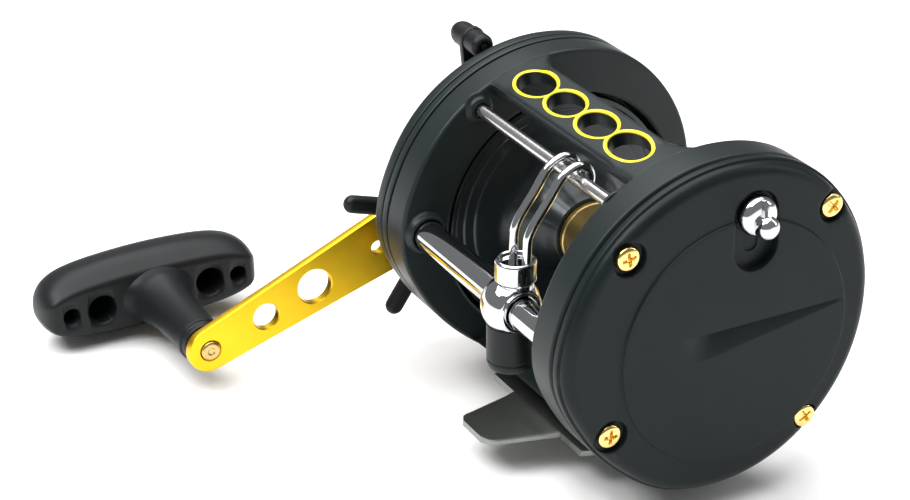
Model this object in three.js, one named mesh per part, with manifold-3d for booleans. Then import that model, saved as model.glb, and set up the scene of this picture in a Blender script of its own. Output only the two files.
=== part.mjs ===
// Trolling reel with level wind: frame, side plates, spool, gear train, drag, clicker and handle.
// Millimetres, +Z up. X runs along the spool from the handle side (-X) to the clicker side (+X);
// -Y is the front, where the line leaves. The origin is the middle of the reel foot's underside.
import * as THREE from 'three';
import { mergeVertices } from 'three/addons/utils/BufferGeometryUtils.js';
import Module from 'manifold-3d';

const wasm = await Module();
wasm.setup();
const group = new THREE.Group();
group.name = 'trolling_reel';

// ---- driving dimensions -----------------------------------------------------------------------
const AXIS = { y: 3, z: 33 };                 // spool axis above and behind the foot's centre
const CLEAR = 0.3;                            // gap left between touching parts
// Radius of the side-plate outline round the spool axis, every 22.5 degrees from the rear, up.
const OUTLINE = [34.1, 35.6, 37.4, 39.2, 39.6, 39.9, 40.4, 40.6, 40.9, 37.9, 36, 35.7, 34.8, 34,
  33.4, 33.4];
const RING = { inner: 28.8, outerTail: 36.9, outerGear: 36.4, bore: 29 };
const TAIL = { start: 37.2, rim: 39.6, face: 41.6, disc: 42.2, discR: 27.3, wall: 2.2 };
const INNER_PLATE = { start: -36.7, end: -38.9 };
const COVER = { start: -39.2, rim: -41.8, shoulder: -44.2, face: -47.6, wall: 1.6 };
const BRIDGE = { offset: 39.9, angle: 109, width: 12.4, thick: 3.6, flare: 6.5, holeX: [19.1, 6.4],
  holeAlong: [6.2, 5.8], holeAcross: [3.8, 3.55] };
const FLOOR = { top: -27.6, bottom: -31.2, front: -21.4, rear: 16.4 };
const FOOT = { top: -31.5, thick: 1.5, baseX: 20.5, baseFront: -19.6, half: 35.8, tipX: 6.2,
  rootX: 10.4 };
const ROD = { y: -21.6, z: 29.8, r: 1.45, reach: 30.6 };
const WIND = { y: -35.1, z: 2.8, tubeR: 3.5, boreR: 2.9, wormR: 2.4, slot: 2.6 };
const GUIDE = { x: 10.2, ball: 6.4, collarR: 4.45, collarTop: 10.7, wireR: 1, wireX: 2.8,
  capR: 5.1, capEnd: -14.6 };
const SPOOL = { flange: 28.2, face: 30.2, back: 31.8, hubR: 12, coneEnd: 17, arborR: 6.4 };
const SHAFT_R = 2;
const MODULE = 0.7;
const TEETH = { main: 40, pinion: 10, idler: 12, worm: 10 };
const GEAR = { start: -39.4, end: -41.9, small: -41.4 };
const FREE = 1.4;                             // how far the pinion slides to let the spool run
const DRIVE_ANGLE = 200.7;                    // drive shaft seen from the spool axis, degrees
const TAIL_SCREWS = [[-26, 24.4], [22.8, 25.4], [-29, -15], [19.9, -23.6]];
const COVER_SCREWS = [[-26, 24.4], [22.8, 25.4], [-29.9, -15.6], [19.9, -23.6]];
const CLICK = { y: 3.6, z: 24.3, width: 9.6, length: 17.2, travel: 7 };
const STAR = { x: -51.8, thick: 3.4, hubR: 9.5, tip: 28, arms: 5, first: 164 };
const ARM = { x: -56, thick: 2.4, length: 64.6, angle: 201.2, hubR: 8.6, tipR: 5.4 };
const GRIP = { stemStart: 1.2, neck: 22, centre: 42, half: 28.5, wide: 11, deep: 10.5, tilt: 182 };
const CAM = { start: -85, sweep: 35 };         // free-spool cam: where its ramp starts, and its angle
const LEVER = { x: -48.2, thick: 2, y: -8.2, z: 17.5, tabY: -12.5, tabZ: 37.6, tabR: 3.2,
  tabIn: -44, tabOut: -54.8 };

// ---- geometry helpers: solids are built about the spool axis ----------------------------------
const rad = (degrees) => degrees * Math.PI / 180;
const polar = (radius, degrees) => [radius * Math.cos(rad(degrees)), radius * Math.sin(rad(degrees))];

function signedVolume(position, index) {
  let sum = 0;
  const [a, b, c] = [new THREE.Vector3(), new THREE.Vector3(), new THREE.Vector3()];
  for (let i = 0; i < index.count; i += 3) {
    a.fromBufferAttribute(position, index.getX(i));
    b.fromBufferAttribute(position, index.getX(i + 1));
    c.fromBufferAttribute(position, index.getX(i + 2));
    sum += a.dot(b.cross(c));
  }
  return sum;
}

function solid(geometry) {
  const bare = geometry.index ? geometry.toNonIndexed() : geometry.clone();
  bare.deleteAttribute('normal');
  bare.deleteAttribute('uv');
  const merged = mergeVertices(bare, 1e-4);
  const index = Array.from(merged.index.array);
  if (signedVolume(merged.attributes.position, merged.index) < 0) {
    for (let i = 0; i < index.length; i += 3) {
      [index[i + 1], index[i + 2]] = [index[i + 2], index[i + 1]];
    }
  }
  return new wasm.Manifold(new wasm.Mesh({
    numProp: 3,
    vertProperties: new Float32Array(merged.attributes.position.array),
    triVerts: new Uint32Array(index),
  }));
}

const join = (parts) => parts.reduce((sum, part) => sum.add(part));
const cut = (body, tools) => tools.reduce((rest, tool) => rest.subtract(tool), body);

// Round bar along X between x0 and x1.
function barX(x0, x1, radius, y = 0, z = 0, sides = 20) {
  const bar = new THREE.CylinderGeometry(radius, radius, Math.abs(x1 - x0), sides);
  bar.rotateZ(Math.PI / 2);
  bar.translate((x0 + x1) / 2, y, z);
  return solid(bar);
}

// Round bar standing along Z.
function barZ(z0, z1, radius, x, y, sides = 16) {
  const bar = new THREE.CylinderGeometry(radius, radius, Math.abs(z1 - z0), sides);
  bar.rotateX(Math.PI / 2);
  bar.translate(x, y, (z0 + z1) / 2);
  return solid(bar);
}

// Turned shape about an X-parallel axis; the profile is a list of [x, radius].
function turned(profile, y = 0, z = 0, sides = 20) {
  const points = profile.map(([x, radius]) => new THREE.Vector2(radius, x));
  const shape = new THREE.LatheGeometry(points, sides);
  shape.rotateZ(-Math.PI / 2);
  shape.translate(0, y, z);
  return solid(shape);
}

function shapeOf(points) {
  return new THREE.Shape(points.map(([a, b]) => new THREE.Vector2(a, b)));
}

// Flat plate with its outline in the YZ plane, filling x0 to x1.
function plateX(shape, x0, x1, curveSegments = 10) {
  const depth = Math.abs(x1 - x0);
  const plate = new THREE.ExtrudeGeometry(shape, { depth, bevelEnabled: false, curveSegments });
  const basis = new THREE.Matrix4().makeBasis(
    new THREE.Vector3(0, 1, 0),
    new THREE.Vector3(0, 0, 1),
    new THREE.Vector3(1, 0, 0),
  );
  plate.applyMatrix4(basis);
  plate.translate(Math.min(x0, x1), 0, 0);
  return solid(plate);
}

// Flat plate with its outline in the XY plane, filling z0 to z1.
function plateZ(shape, z0, z1, curveSegments = 10) {
  const depth = Math.abs(z1 - z0);
  const plate = new THREE.ExtrudeGeometry(shape, { depth, bevelEnabled: false, curveSegments });
  plate.translate(0, 0, Math.min(z0, z1));
  return solid(plate);
}

function box(x0, x1, y0, y1, z0, z1) {
  const block = new THREE.BoxGeometry(Math.abs(x1 - x0), Math.abs(y1 - y0), Math.abs(z1 - z0));
  block.translate((x0 + x1) / 2, (y0 + y1) / 2, (z0 + z1) / 2);
  return solid(block);
}

// Side-plate outline as a smooth closed curve; inset pulls it towards the axis.
const outlineCurve = new THREE.CatmullRomCurve3(
  OUTLINE.map((radius, i) => new THREE.Vector3(...polar(radius, i * 22.5), 0)),
  true,
  'catmullrom',
  0.5,
);
function outlineRing(inset, count = 40) {
  const ring = [];
  for (let i = 0; i < count; i += 1) {
    const point = outlineCurve.getPoint(i / count);
    const scale = 1 - inset / Math.hypot(point.x, point.y);
    ring.push([point.x * scale, point.y * scale]);
  }
  return ring;
}

// Solid through rings of equal point counts, each at its own x: [[x, ring], ...].
function loftX(sections) {
  const count = sections[0][1].length;
  const position = [];
  sections.forEach(([x, ring]) => ring.forEach(([y, z]) => position.push(x, y, z)));
  const ends = [sections[0], sections[sections.length - 1]];
  ends.forEach(([x, ring]) => {
    const middle = ring.reduce((sum, [y, z]) => [sum[0] + y / count, sum[1] + z / count], [0, 0]);
    position.push(x, ...middle);
  });
  const index = [];
  for (let k = 0; k < sections.length - 1; k += 1) {
    for (let i = 0; i < count; i += 1) {
      const a = k * count + i;
      const b = k * count + (i + 1) % count;
      index.push(a, b, a + count, b, b + count, a + count);
    }
  }
  const [first, last] = [sections.length * count, sections.length * count + 1];
  const top = (sections.length - 1) * count;
  for (let i = 0; i < count; i += 1) {
    index.push(first, (i + 1) % count, i);
    index.push(last, top + i, top + (i + 1) % count);
  }
  const geometry = new THREE.BufferGeometry();
  geometry.setAttribute('position', new THREE.Float32BufferAttribute(position, 3));
  geometry.setIndex(index);
  return solid(geometry);
}

const outlineSolid = (steps) => loftX(steps.map(([x, inset]) => [x, outlineRing(inset)]));

// Round wire swept along a curve.
function wire(curve, radius, steps, sides = 10) {
  const section = new THREE.Shape();
  section.absarc(0, 0, radius, 0, 2 * Math.PI, false);
  const swept = new THREE.ExtrudeGeometry(section, {
    steps,
    curveSegments: sides,
    bevelEnabled: false,
    extrudePath: curve,
  });
  return solid(swept);
}

class Helix extends THREE.Curve {
  constructor(start, length, radius, turns, y, z) {
    super();
    Object.assign(this, { start, length, radius, turns, y, z });
  }

  getPoint(t, target = new THREE.Vector3()) {
    const angle = 2 * Math.PI * this.turns * t;
    const y = this.y + this.radius * Math.cos(angle);
    const z = this.z + this.radius * Math.sin(angle);
    return target.set(this.start + this.length * t, y, z);
  }
}

// Spur gear outline: straight-flanked teeth, four points to a tooth.
function gearShape(teeth, y, z, turn = 0) {
  const pitch = MODULE * teeth / 2;
  const [tip, root] = [pitch + 0.62 * MODULE, pitch - 0.95 * MODULE];
  const points = [];
  for (let i = 0; i < teeth; i += 1) {
    const centre = 360 * i / teeth + turn;
    const step = 360 / teeth;
    const corners = [[root, -0.33], [tip, -0.1], [tip, 0.1], [root, 0.33]];
    corners.forEach(([radius, share]) => {
      const [py, pz] = polar(radius, centre + share * step);
      points.push([y + py, z + pz]);
    });
  }
  return shapeOf(points);
}

// Saw-toothed ratchet wheel outline.
function ratchetShape(teeth, tip, root, y, z) {
  const points = [];
  for (let i = 0; i < teeth; i += 1) {
    const at = 360 * i / teeth;
    [[root, at], [tip, at + 3], [root + 0.4, at + 300 / teeth]].forEach(([radius, angle]) => {
      const [py, pz] = polar(radius, angle);
      points.push([y + py, z + pz]);
    });
  }
  return shapeOf(points);
}

function slotShape(y, z, width, length) {
  const radius = width / 2;
  const reach = length / 2 - radius;
  const shape = new THREE.Shape();
  shape.absarc(y, z + reach, radius, 0, Math.PI, false);
  shape.absarc(y, z - reach, radius, Math.PI, 2 * Math.PI, false);
  shape.closePath();
  return shape;
}

// ---- finishes ---------------------------------------------------------------------------------
const FINISH = {
  graphite: [0x3a4042, 0.1, 0.62],
  spoolBlack: [0x1c2326, 0.4, 0.4],
  plastic: [0x34383a, 0, 0.7],
  steel: [0xb9bcbd, 1, 0.32],
  chrome: [0xe6e8ea, 1, 0.08],
  gold: [0xd8b02a, 1, 0.3],
  brass: [0xa98632, 1, 0.36],
  screw: [0xe3bd62, 1, 0.2],
  fibre: [0x2a2622, 0, 0.8],
};

function add(name, body, finish) {
  const mesh = body.getMesh();
  const indexed = new THREE.BufferGeometry();
  indexed.setAttribute('position', new THREE.BufferAttribute(mesh.vertProperties.slice(), 3));
  indexed.setIndex(new THREE.BufferAttribute(mesh.triVerts.slice(), 1));
  indexed.translate(0, AXIS.y, AXIS.z);
  const geometry = indexed.toNonIndexed();
  geometry.computeVertexNormals();
  const [color, metalness, roughness] = FINISH[finish];
  const material = new THREE.MeshStandardMaterial({ color, metalness, roughness });
  const part = new THREE.Mesh(geometry, material);
  part.name = name;
  group.add(part);
}

// ---- derived positions ------------------------------------------------------------------------
const pitchR = (teeth) => MODULE * teeth / 2;
const DRIVE = polar(pitchR(TEETH.main) + pitchR(TEETH.pinion), DRIVE_ANGLE);
// The idler touches both the main gear and the level-wind gear.
function idlerCentre() {
  const near = pitchR(TEETH.main) + pitchR(TEETH.idler);
  const far = pitchR(TEETH.idler) + pitchR(TEETH.worm);
  const [dy, dz] = [WIND.y - DRIVE[0], WIND.z - DRIVE[1]];
  const span = Math.hypot(dy, dz);
  const along = (near * near - far * far + span * span) / (2 * span);
  const aside = Math.sqrt(near * near - along * along);
  return [
    DRIVE[0] + (along * dy + aside * dz) / span,
    DRIVE[1] + (along * dz - aside * dy) / span,
  ];
}
const IDLER = idlerCentre();
const ACROSS = [-Math.sin(rad(DRIVE_ANGLE)), Math.cos(rad(DRIVE_ANGLE))];
const POSTS = [9.6, -9.6].map((reach) => [ACROSS[0] * reach, ACROSS[1] * reach]);
const DOG = { y: 8.4, z: -17.6, x0: -34, x1: -35.6 };
const CLICK_REST = [CLICK.y, CLICK.z + CLICK.travel / 2];

// ---- frame: two rings, top bridge and floor ---------------------------------------------------
function topBridge() {
  const half = BRIDGE.width / 2;
  const wide = half + BRIDGE.flare;
  const shape = new THREE.Shape();
  const [start, end] = [21.5, RING.inner + 1];
  shape.moveTo(-start, -half);
  shape.lineTo(start, -half);
  shape.quadraticCurveTo(end - 2.2, -half, end, -wide);
  shape.lineTo(end, wide);
  shape.quadraticCurveTo(end - 2.2, half, start, half);
  shape.lineTo(-start, half);
  shape.quadraticCurveTo(2.2 - end, half, -end, wide);
  shape.lineTo(-end, -wide);
  shape.quadraticCurveTo(2.2 - end, -half, -start, -half);
  const depth = BRIDGE.thick + 1;
  const plate = new THREE.ExtrudeGeometry(shape, { depth, bevelEnabled: false, curveSegments: 6 });
  plate.translate(0, 0, BRIDGE.offset - BRIDGE.thick);
  plate.rotateX(rad(BRIDGE.angle - 90));
  const body = solid(plate).intersect(outlineSolid([[-30, 0.05], [30, 0.05]]));
  const tools = [];
  BRIDGE.holeX.forEach((x, i) => [x, -x].forEach((at) => {
    const hole = new THREE.CylinderGeometry(1, 1, 12, 24);
    hole.rotateX(Math.PI / 2);
    hole.scale(BRIDGE.holeAlong[i], BRIDGE.holeAcross[i], 1);
    hole.translate(at, 0, BRIDGE.offset - 2);
    hole.rotateX(rad(BRIDGE.angle - 90));
    tools.push(solid(hole));
  }));
  const cap = new THREE.BoxGeometry(80, 60, 10);
  cap.translate(0, 0, BRIDGE.offset + 5);
  cap.rotateX(rad(BRIDGE.angle - 90));
  return cut(body, [...tools, solid(cap)]);
}

function floorBridge() {
  const { front, rear } = FLOOR;
  const shape = new THREE.Shape();
  const [start, end] = [22, RING.inner + 1];
  shape.moveTo(-start, front);
  shape.lineTo(start, front);
  shape.quadraticCurveTo(end - 2, front, end, front - 4.5);
  shape.lineTo(end, rear + 3);
  shape.quadraticCurveTo(end - 2, rear, start, rear);
  shape.lineTo(-start, rear);
  shape.quadraticCurveTo(2 - end, rear, -end, rear + 3);
  shape.lineTo(-end, front - 4.5);
  shape.quadraticCurveTo(2 - end, front, -start, front);
  return plateZ(shape, FLOOR.bottom, FLOOR.top, 6).intersect(outlineSolid([[-30, 0.4], [30, 0.4]]));
}

const FOOT_SCREWS = [[-14.5, -11], [14.5, -11], [-14.5, 5], [14.5, 5]];

function frame() {
  const tailRing = outlineSolid([[RING.inner, 0.7], [RING.inner + 0.7, 0], [RING.outerTail - 0.5, 0],
    [RING.outerTail, 0.5]]);
  const gearRing = outlineSolid([[-RING.outerGear, 0.4], [0.4 - RING.outerGear, 0],
    [-RING.inner - 0.7, 0], [-RING.inner, 0.7]]);
  const bores = [barX(RING.inner - 1, 40, RING.bore, 0, 0, 36),
    barX(-40, 1 - RING.inner, RING.bore, 0, 0, 36)];
  const rodSeats = [barX(-RING.inner - 2.2, RING.inner + 2.2, ROD.r + CLEAR, ROD.y, ROD.z, 12)];
  const tubeSeats = [barX(-RING.inner - 2.4, RING.inner + 2.4, WIND.tubeR + CLEAR, WIND.y, WIND.z, 20)];
  const wormHole = barX(-40, 34.4, 1.8, WIND.y, WIND.z, 12);
  const bosses = [-1, 1].map((side) => turned([[side * (RING.inner - 1.2), 0],
    [side * (RING.inner - 1.2), 3], [side * (RING.inner + 1), 3.6], [side * (RING.inner + 1), 0]],
  ROD.y, ROD.z, 16));
  const screwHoles = [
    ...TAIL_SCREWS.map(([y, z]) => barX(28, 40, 1.4, y, z, 8)),
    ...COVER_SCREWS.map(([y, z]) => barX(-40, -28, 1.4, y, z, 8)),
  ];
  const clickRoom = box(32, 38, CLICK.y - 3.4, CLICK.y + 3.4, 24, 30.6);
  const feet = FOOT_SCREWS.map(([x, y]) => barZ(-34, -24, 1.6, x, y, 8));
  const rings = [cut(tailRing, [bores[0]]), cut(gearRing, [bores[1]])];
  const body = join([...rings, topBridge(), floorBridge(), ...bosses]);
  return cut(body, [...rodSeats, ...tubeSeats, wormHole, ...screwHoles, ...feet, clickRoom]);
}
add('frame', frame(), 'graphite');

// ---- clicker-side plate: rounded rim, raised disc, sunk screws and the clicker slot -----------
function tailPlate() {
  const shell = outlineSolid([[TAIL.start, 0.5], [TAIL.start + 0.5, 0], [TAIL.rim, 0],
    [TAIL.rim + 0.9, 0.5], [TAIL.rim + 1.6, 1.5], [TAIL.face, 3]]);
  const disc = turned([[TAIL.face - 1, 0], [TAIL.face - 1, TAIL.discR + 0.6], [TAIL.face, TAIL.discR + 0.5],
    [TAIL.disc, TAIL.discR], [TAIL.disc, 0]], 0, 0, 40);
  const hollow = barX(TAIL.start - 1, TAIL.face - TAIL.wall, 27, 0, 0, 28);
  const wedge = plateX(shapeOf([[-12, 3.7], [26.1, 4.2], [26.4, 2.9], [-3.5, -1.6], [-8, 0.5]]),
    TAIL.disc - 0.45, TAIL.disc + 1);
  const seats = TAIL_SCREWS.map(([y, z]) => join([barX(TAIL.face - 1.9, 44, 3.7, y, z, 16),
    barX(36, 44, 1.75, y, z, 8)]));
  const slot = plateX(slotShape(CLICK.y, CLICK.z, CLICK.width + 1, CLICK.length), TAIL.face - 1.1, 44);
  const through = plateX(slotShape(CLICK.y, CLICK.z, 3.4, CLICK.travel + 3.6), 36, 44);
  const bearingHouse = turned([[TAIL.start - 2.6, 0], [TAIL.start - 2.6, 7.4], [40, 7.4], [40, 0]]);
  const bearingSeat = barX(TAIL.start - 4, 38.6, 5.3, 0, 0, 20);
  const shaftEnd = barX(TAIL.start - 4, 40.2, SHAFT_R + 0.4, 0, 0, 12);
  const body = join([cut(join([shell, disc]), [hollow]), bearingHouse]);
  return cut(body, [wedge, ...seats, slot, through, bearingSeat, shaftEnd]);
}
add('tail_plate', tailPlate(), 'graphite');

// ---- mechanism plate behind the gear cover ----------------------------------------------------
function innerPlate() {
  const { start, end } = INNER_PLATE;
  const plate = outlineSolid([[end, 0.4], [end + 0.4, 0], [start - 0.4, 0], [start, 0.4]]);
  const house = turned([[start + 2.2, 0], [start + 2.2, 7.2], [end, 7.2], [end, 0]]);
  const studs = [barX(end + 1, -42.2, 1.2, IDLER[0], IDLER[1], 12)];
  const posts = POSTS.map(([y, z]) => barX(end + 1, -45, 1, y, z, 10));
  const dogPost = barX(-33.3, end + 1, 1.2, DOG.y, DOG.z, 12);
  const seat = barX(-30, end + 0.6, 5.3, 0, 0, 20);
  const shaft = barX(-30, -42, SHAFT_R + 0.4, 0, 0, 12);
  const drive = barX(-30, -42, 3.1, DRIVE[0], DRIVE[1], 16);
  const worm = barX(-30, -42, 1.8, WIND.y, WIND.z, 12);
  const screws = COVER_SCREWS.map(([y, z]) => barX(-30, -42, 1.6, y, z, 8));
  return cut(join([plate, house, ...studs, ...posts, dogPost]), [seat, shaft, drive, worm, ...screws]);
}
add('mechanism_plate', innerPlate(), 'plastic');

// ---- gear cover with its raised housing -------------------------------------------------------
function gearCover() {
  const shell = outlineSolid([[COVER.shoulder, 5], [COVER.shoulder + 0.7, 2.6], [COVER.rim - 0.9, 0.8],
    [COVER.rim, 0], [COVER.start - 0.4, 0], [COVER.start, 0.4]]);
  const house = turned([[COVER.face, 0], [COVER.face, 24], [COVER.face + 1, 26], [COVER.shoulder + 1, 27.5],
    [COVER.shoulder + 1, 0]], -5, -1, 36);
  const boss = turned([[COVER.face - 0.5, 0], [COVER.face - 0.5, 8], [COVER.face + 1, 9],
    [COVER.face + 1, 0]], DRIVE[0], DRIVE[1], 20);
  const hollow = join([
    barX(COVER.start + 1, -42.6, 28.2, -1, -0.5, 28),
    barX(-40, COVER.face + COVER.wall, 24, -5, -1, 28),
  ]);
  const windPocket = barX(COVER.start + 1, -41.9, 4.5, WIND.y, WIND.z, 16);
  const idlerPocket = barX(COVER.start + 1, -42.6, 5.2, IDLER[0], IDLER[1], 16);
  const driveHole = barX(-36, -52, 4.3, DRIVE[0], DRIVE[1], 16);
  const leverHole = barX(-36, -52, 2.4, LEVER.y, LEVER.z, 12);
  const pinionPocket = barX(-44, -46.4, 4.4, 0, 0, 16);
  const shaftEnd = barX(-44, -46.8, SHAFT_R + 0.4, 0, 0, 12);
  const seats = COVER_SCREWS.map(([y, z]) => join([barX(-42.4, -52, 3.2, y, z, 12),
    barX(-36, -52, 1.6, y, z, 8)]));
  const gearPocket = barX(COVER.start + 1, -42.6, 14.9, DRIVE[0], DRIVE[1], 32);
  const body = join([shell, house, boss]);
  return cut(body, [hollow, gearPocket, windPocket, idlerPocket, pinionPocket, driveHole, leverHole,
    shaftEnd, ...seats]);
}
add('gear_cover', gearCover(), 'graphite');

// ---- screws: shank, sunk pan head and cross recess --------------------------------------------
function screw(y, z, head, side, shank) {
  const profile = [[0, 0], [0, 1.9], [0.7, 2.6], [1.5, 2.6], [1.5, 1.2], [shank, 1.2], [shank, 0]];
  const body = turned(profile.map(([x, r]) => [head - side * x, r]), y, z, 12);
  const depth = [head - side * 0.8, head + side];
  const slots = [box(...depth, y - 1.7, y + 1.7, z - 0.3, z + 0.3),
    box(...depth, y - 0.3, y + 0.3, z - 1.7, z + 1.7)];
  return cut(body, slots);
}
TAIL_SCREWS.forEach(([y, z], i) => {
  add(`tail_screw_${i + 1}`, screw(y, z, TAIL.face - 0.1, 1, 11), 'screw');
});
COVER_SCREWS.forEach(([y, z], i) => {
  add(`cover_screw_${i + 1}`, screw(y, z, -44.2, -1, 12), 'steel');
});

// ---- reel foot: stamped saddle with a wide base and two tapering tongues ----------------------
function reelFoot() {
  const half = FOOT.half;
  const front = FOOT.baseFront + AXIS.y;
  const shape = new THREE.Shape();
  const side = [[FOOT.baseX, front], [FOOT.rootX, front], [FOOT.tipX + 0.4, 2 - half],
    [FOOT.tipX - 2, -half]];
  const mirror = (list, sx, sy) => list.map(([x, y]) => [x * sx, y * sy]);
  const points = [...mirror(side, -1, 1), ...mirror(side, 1, 1).reverse(), ...mirror(side, 1, -1),
    ...mirror(side, -1, -1).reverse()];
  shape.setFromPoints(points.map(([x, y]) => new THREE.Vector2(x, y - AXIS.y)));
  const plate = plateZ(shape, FOOT.top - FOOT.thick, FOOT.top);
  const holes = FOOT_SCREWS.map(([x, y]) => {
    const cone = new THREE.CylinderGeometry(1.9, 3.7, FOOT.thick + 0.4, 12);
    cone.rotateX(Math.PI / 2);
    cone.translate(x, y, FOOT.top - FOOT.thick / 2);
    return solid(cone);
  });
  return cut(plate, holes);
}
add('reel_foot', reelFoot(), 'steel');
FOOT_SCREWS.forEach(([x, y], i) => {
  const profile = [[0, 0], [0, 3], [1.4, 1.3], [4.4, 1.3], [4.4, 0]];
  const points = profile.map(([rise, r]) => new THREE.Vector2(r, rise));
  const body = new THREE.LatheGeometry(points, 12);
  body.rotateX(Math.PI / 2);
  body.translate(x, y, FOOT.top - FOOT.thick + 0.1);
  add(`foot_screw_${i + 1}`, solid(body), 'steel');
});

// ---- cross rods, level-wind tube, worm and line guide -----------------------------------------
add('top_rod', barX(-ROD.reach, ROD.reach, ROD.r, ROD.y, ROD.z, 16), 'steel');

function windTube() {
  const tube = barX(-30.8, 30.8, WIND.tubeR, WIND.y, WIND.z, 24);
  const bore = barX(-32, 32, WIND.boreR, WIND.y, WIND.z, 20);
  const slot = box(-27, 27, WIND.y - WIND.slot / 2, WIND.y + WIND.slot / 2, WIND.z - 5, WIND.z);
  return cut(tube, [bore, slot]);
}
add('level_wind_tube', windTube(), 'chrome');

// The worm turns in the tube; its crossed groove drives the pawl from side to side.
function wormShaft() {
  const { y, z } = WIND;
  const grooves = [];
  for (let x = -24; x <= 24; x += 8) {
    grooves.push([x - 0.9, 2.4], [x, 1.8], [x + 0.9, 2.4]);
  }
  return turned([[-41.3, 0], [-41.3, 1.3], [-30.4, 1.3], [-30.4, 2.4], ...grooves, [30.4, 2.4],
    [30.4, 1.3], [34.1, 1.3], [34.1, 0]], y, z, 12);
}
add('worm_shaft', wormShaft(), 'steel');

const BALL = new THREE.Vector3(GUIDE.x, WIND.y, WIND.z);
function ballBody(radius, sides = 20) {
  const ball = new THREE.SphereGeometry(radius, sides, Math.round(sides / 2));
  ball.translate(BALL.x, BALL.y, BALL.z);
  return solid(ball);
}
function carriage() {
  const { x, y, z } = BALL;
  const collar = barZ(z + 4.4, z + GUIDE.collarTop, GUIDE.collarR, x, y, 24);
  const bore = barX(x - 9, x + 9, WIND.tubeR + CLEAR, y, z, 24);
  const seats = [-1, 1].map((side) => barZ(z + 6.8, z + 12, GUIDE.wireR + CLEAR,
    x + side * GUIDE.wireX, y, 10));
  const pawlHole = barZ(z - 8, z - 3, 1.5, x, y, 12);
  return cut(ballBody(GUIDE.ball).add(collar), [bore, ...seats, pawlHole]);
}
add('guide_carriage', carriage(), 'chrome');

// Each guide wire rises from the collar, leans back and hooks over the top rod.
function guideWire(side) {
  const x = BALL.x + side * GUIDE.wireX;
  const radius = ROD.r + GUIDE.wireR + 0.45;
  const point = (y, z) => new THREE.Vector3(x, y, z);
  const hook = [120, 92, 64, 36, 8, -16].map((angle) => {
    const [y, z] = polar(radius, angle);
    return point(ROD.y + y, ROD.z + z);
  });
  const low = WIND.z + 7.1;
  const path = new THREE.CatmullRomCurve3([
    point(WIND.y, low),
    point(WIND.y, low + 6),
    point(WIND.y, low + 12.4),
    point(WIND.y + 0.7, low + 14.6),
    point(WIND.y + 4.9, low + 19.4),
    point(WIND.y + 9, low + 24),
    ...hook,
  ], false, 'centripetal');
  return wire(path, GUIDE.wireR, 26, 4);
}
add('guide_wire_left', guideWire(-1), 'chrome');
add('guide_wire_right', guideWire(1), 'chrome');

function guidePawl() {
  const { x, y, z } = BALL;
  return join([barZ(z - 2.5, z - 7.6, 1, x, y, 12), barZ(z - 7.2, z - 8.4, 2.2, x, y, 14)]);
}
add('guide_pawl', guidePawl(), 'steel');

function pawlCap() {
  const { x, y, z } = BALL;
  const bottom = z + GUIDE.capEnd + 0.6;
  const skirt = join([barZ(z - 3, bottom, GUIDE.capR, x, y, 24),
    barZ(bottom + 0.1, bottom - 0.6, GUIDE.capR - 0.7, x, y, 24)]);
  const socket = barZ(z, z - 8.8, 2.6, x, y, 14);
  return cut(skirt, [ballBody(GUIDE.ball + CLEAR), socket]);
}
add('pawl_cap', pawlCap(), 'plastic');

// ---- spool: dished flanges on a core, with a separate arbor sleeve between them ---------------
function spool() {
  const { flange, face, back, hubR, coneEnd, arborR } = SPOOL;
  const side = (s) => [[s * coneEnd, 4.2], [s * coneEnd, arborR + 2.2], [s * (face - 3.4), hubR],
    [s * (face - 1.6), hubR + 4], [s * (face - 0.4), flange - 4.5], [s * face, flange - 1.2],
    [s * (face + 0.3), flange], [s * back, flange], [s * back, 8], [s * (back + 0.6), 6],
    [s * (back + 0.6), SHAFT_R + CLEAR]];
  return turned([...side(-1).reverse(), ...side(1), [-back - 0.6, SHAFT_R + CLEAR]], 0, 0, 28);
}
add('spool', spool(), 'spoolBlack');

function spoolArbor() {
  const end = SPOOL.coneEnd - CLEAR;
  const sleeve = turned([[-end, 4.5], [-end, SPOOL.arborR], [end, SPOOL.arborR], [end, 4.5],
    [-end, 4.5]], 0, 0, 24);
  const tieHole = barZ(0, 9, 1, -12.5, 0, 10);
  return cut(sleeve, [tieHole]);
}
add('spool_arbor', spoolArbor(), 'brass');

// The shaft's squared part is what the pinion grips.
function spoolShaft() {
  const square = [36.2, 37.4].map((x) => -x - 2);
  const shaft = turned([[-46.3, 0], [-46.3, 1.6], [-42, 1.6], [-42, SHAFT_R], [39.7, SHAFT_R],
    [39.7, 0]], 0, 0, 16);
  const flats = [0, 90, 180, 270].map((angle) => {
    const block = new THREE.BoxGeometry(square[0] - square[1] + 1.6, 2, 6);
    block.translate((square[0] + square[1]) / 2 - 1.2, 2.6, 0);
    block.rotateX(rad(angle));
    return solid(block);
  });
  return cut(shaft, flats);
}
add('spool_shaft', spoolShaft(), 'steel');

function bearing(x0, x1) {
  return turned([[x0, 2.3], [x0, 5], [x1, 5], [x1, 2.3], [x0, 2.3]]);
}
add('tail_bearing', bearing(35.4, 38.3), 'steel');
add('gear_bearing', bearing(-38.1, -35.4), 'steel');

// ---- clicker ----------------------------------------------------------------------------------
function clickGear() {
  const plate = plateX(ratchetShape(24, 8.4, 7.2, 0, 0), 32.8, 34);
  return cut(plate, [barX(31, 36, SHAFT_R + CLEAR, 0, 0, 14)]);
}
add('click_gear', clickGear(), 'brass');

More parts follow.
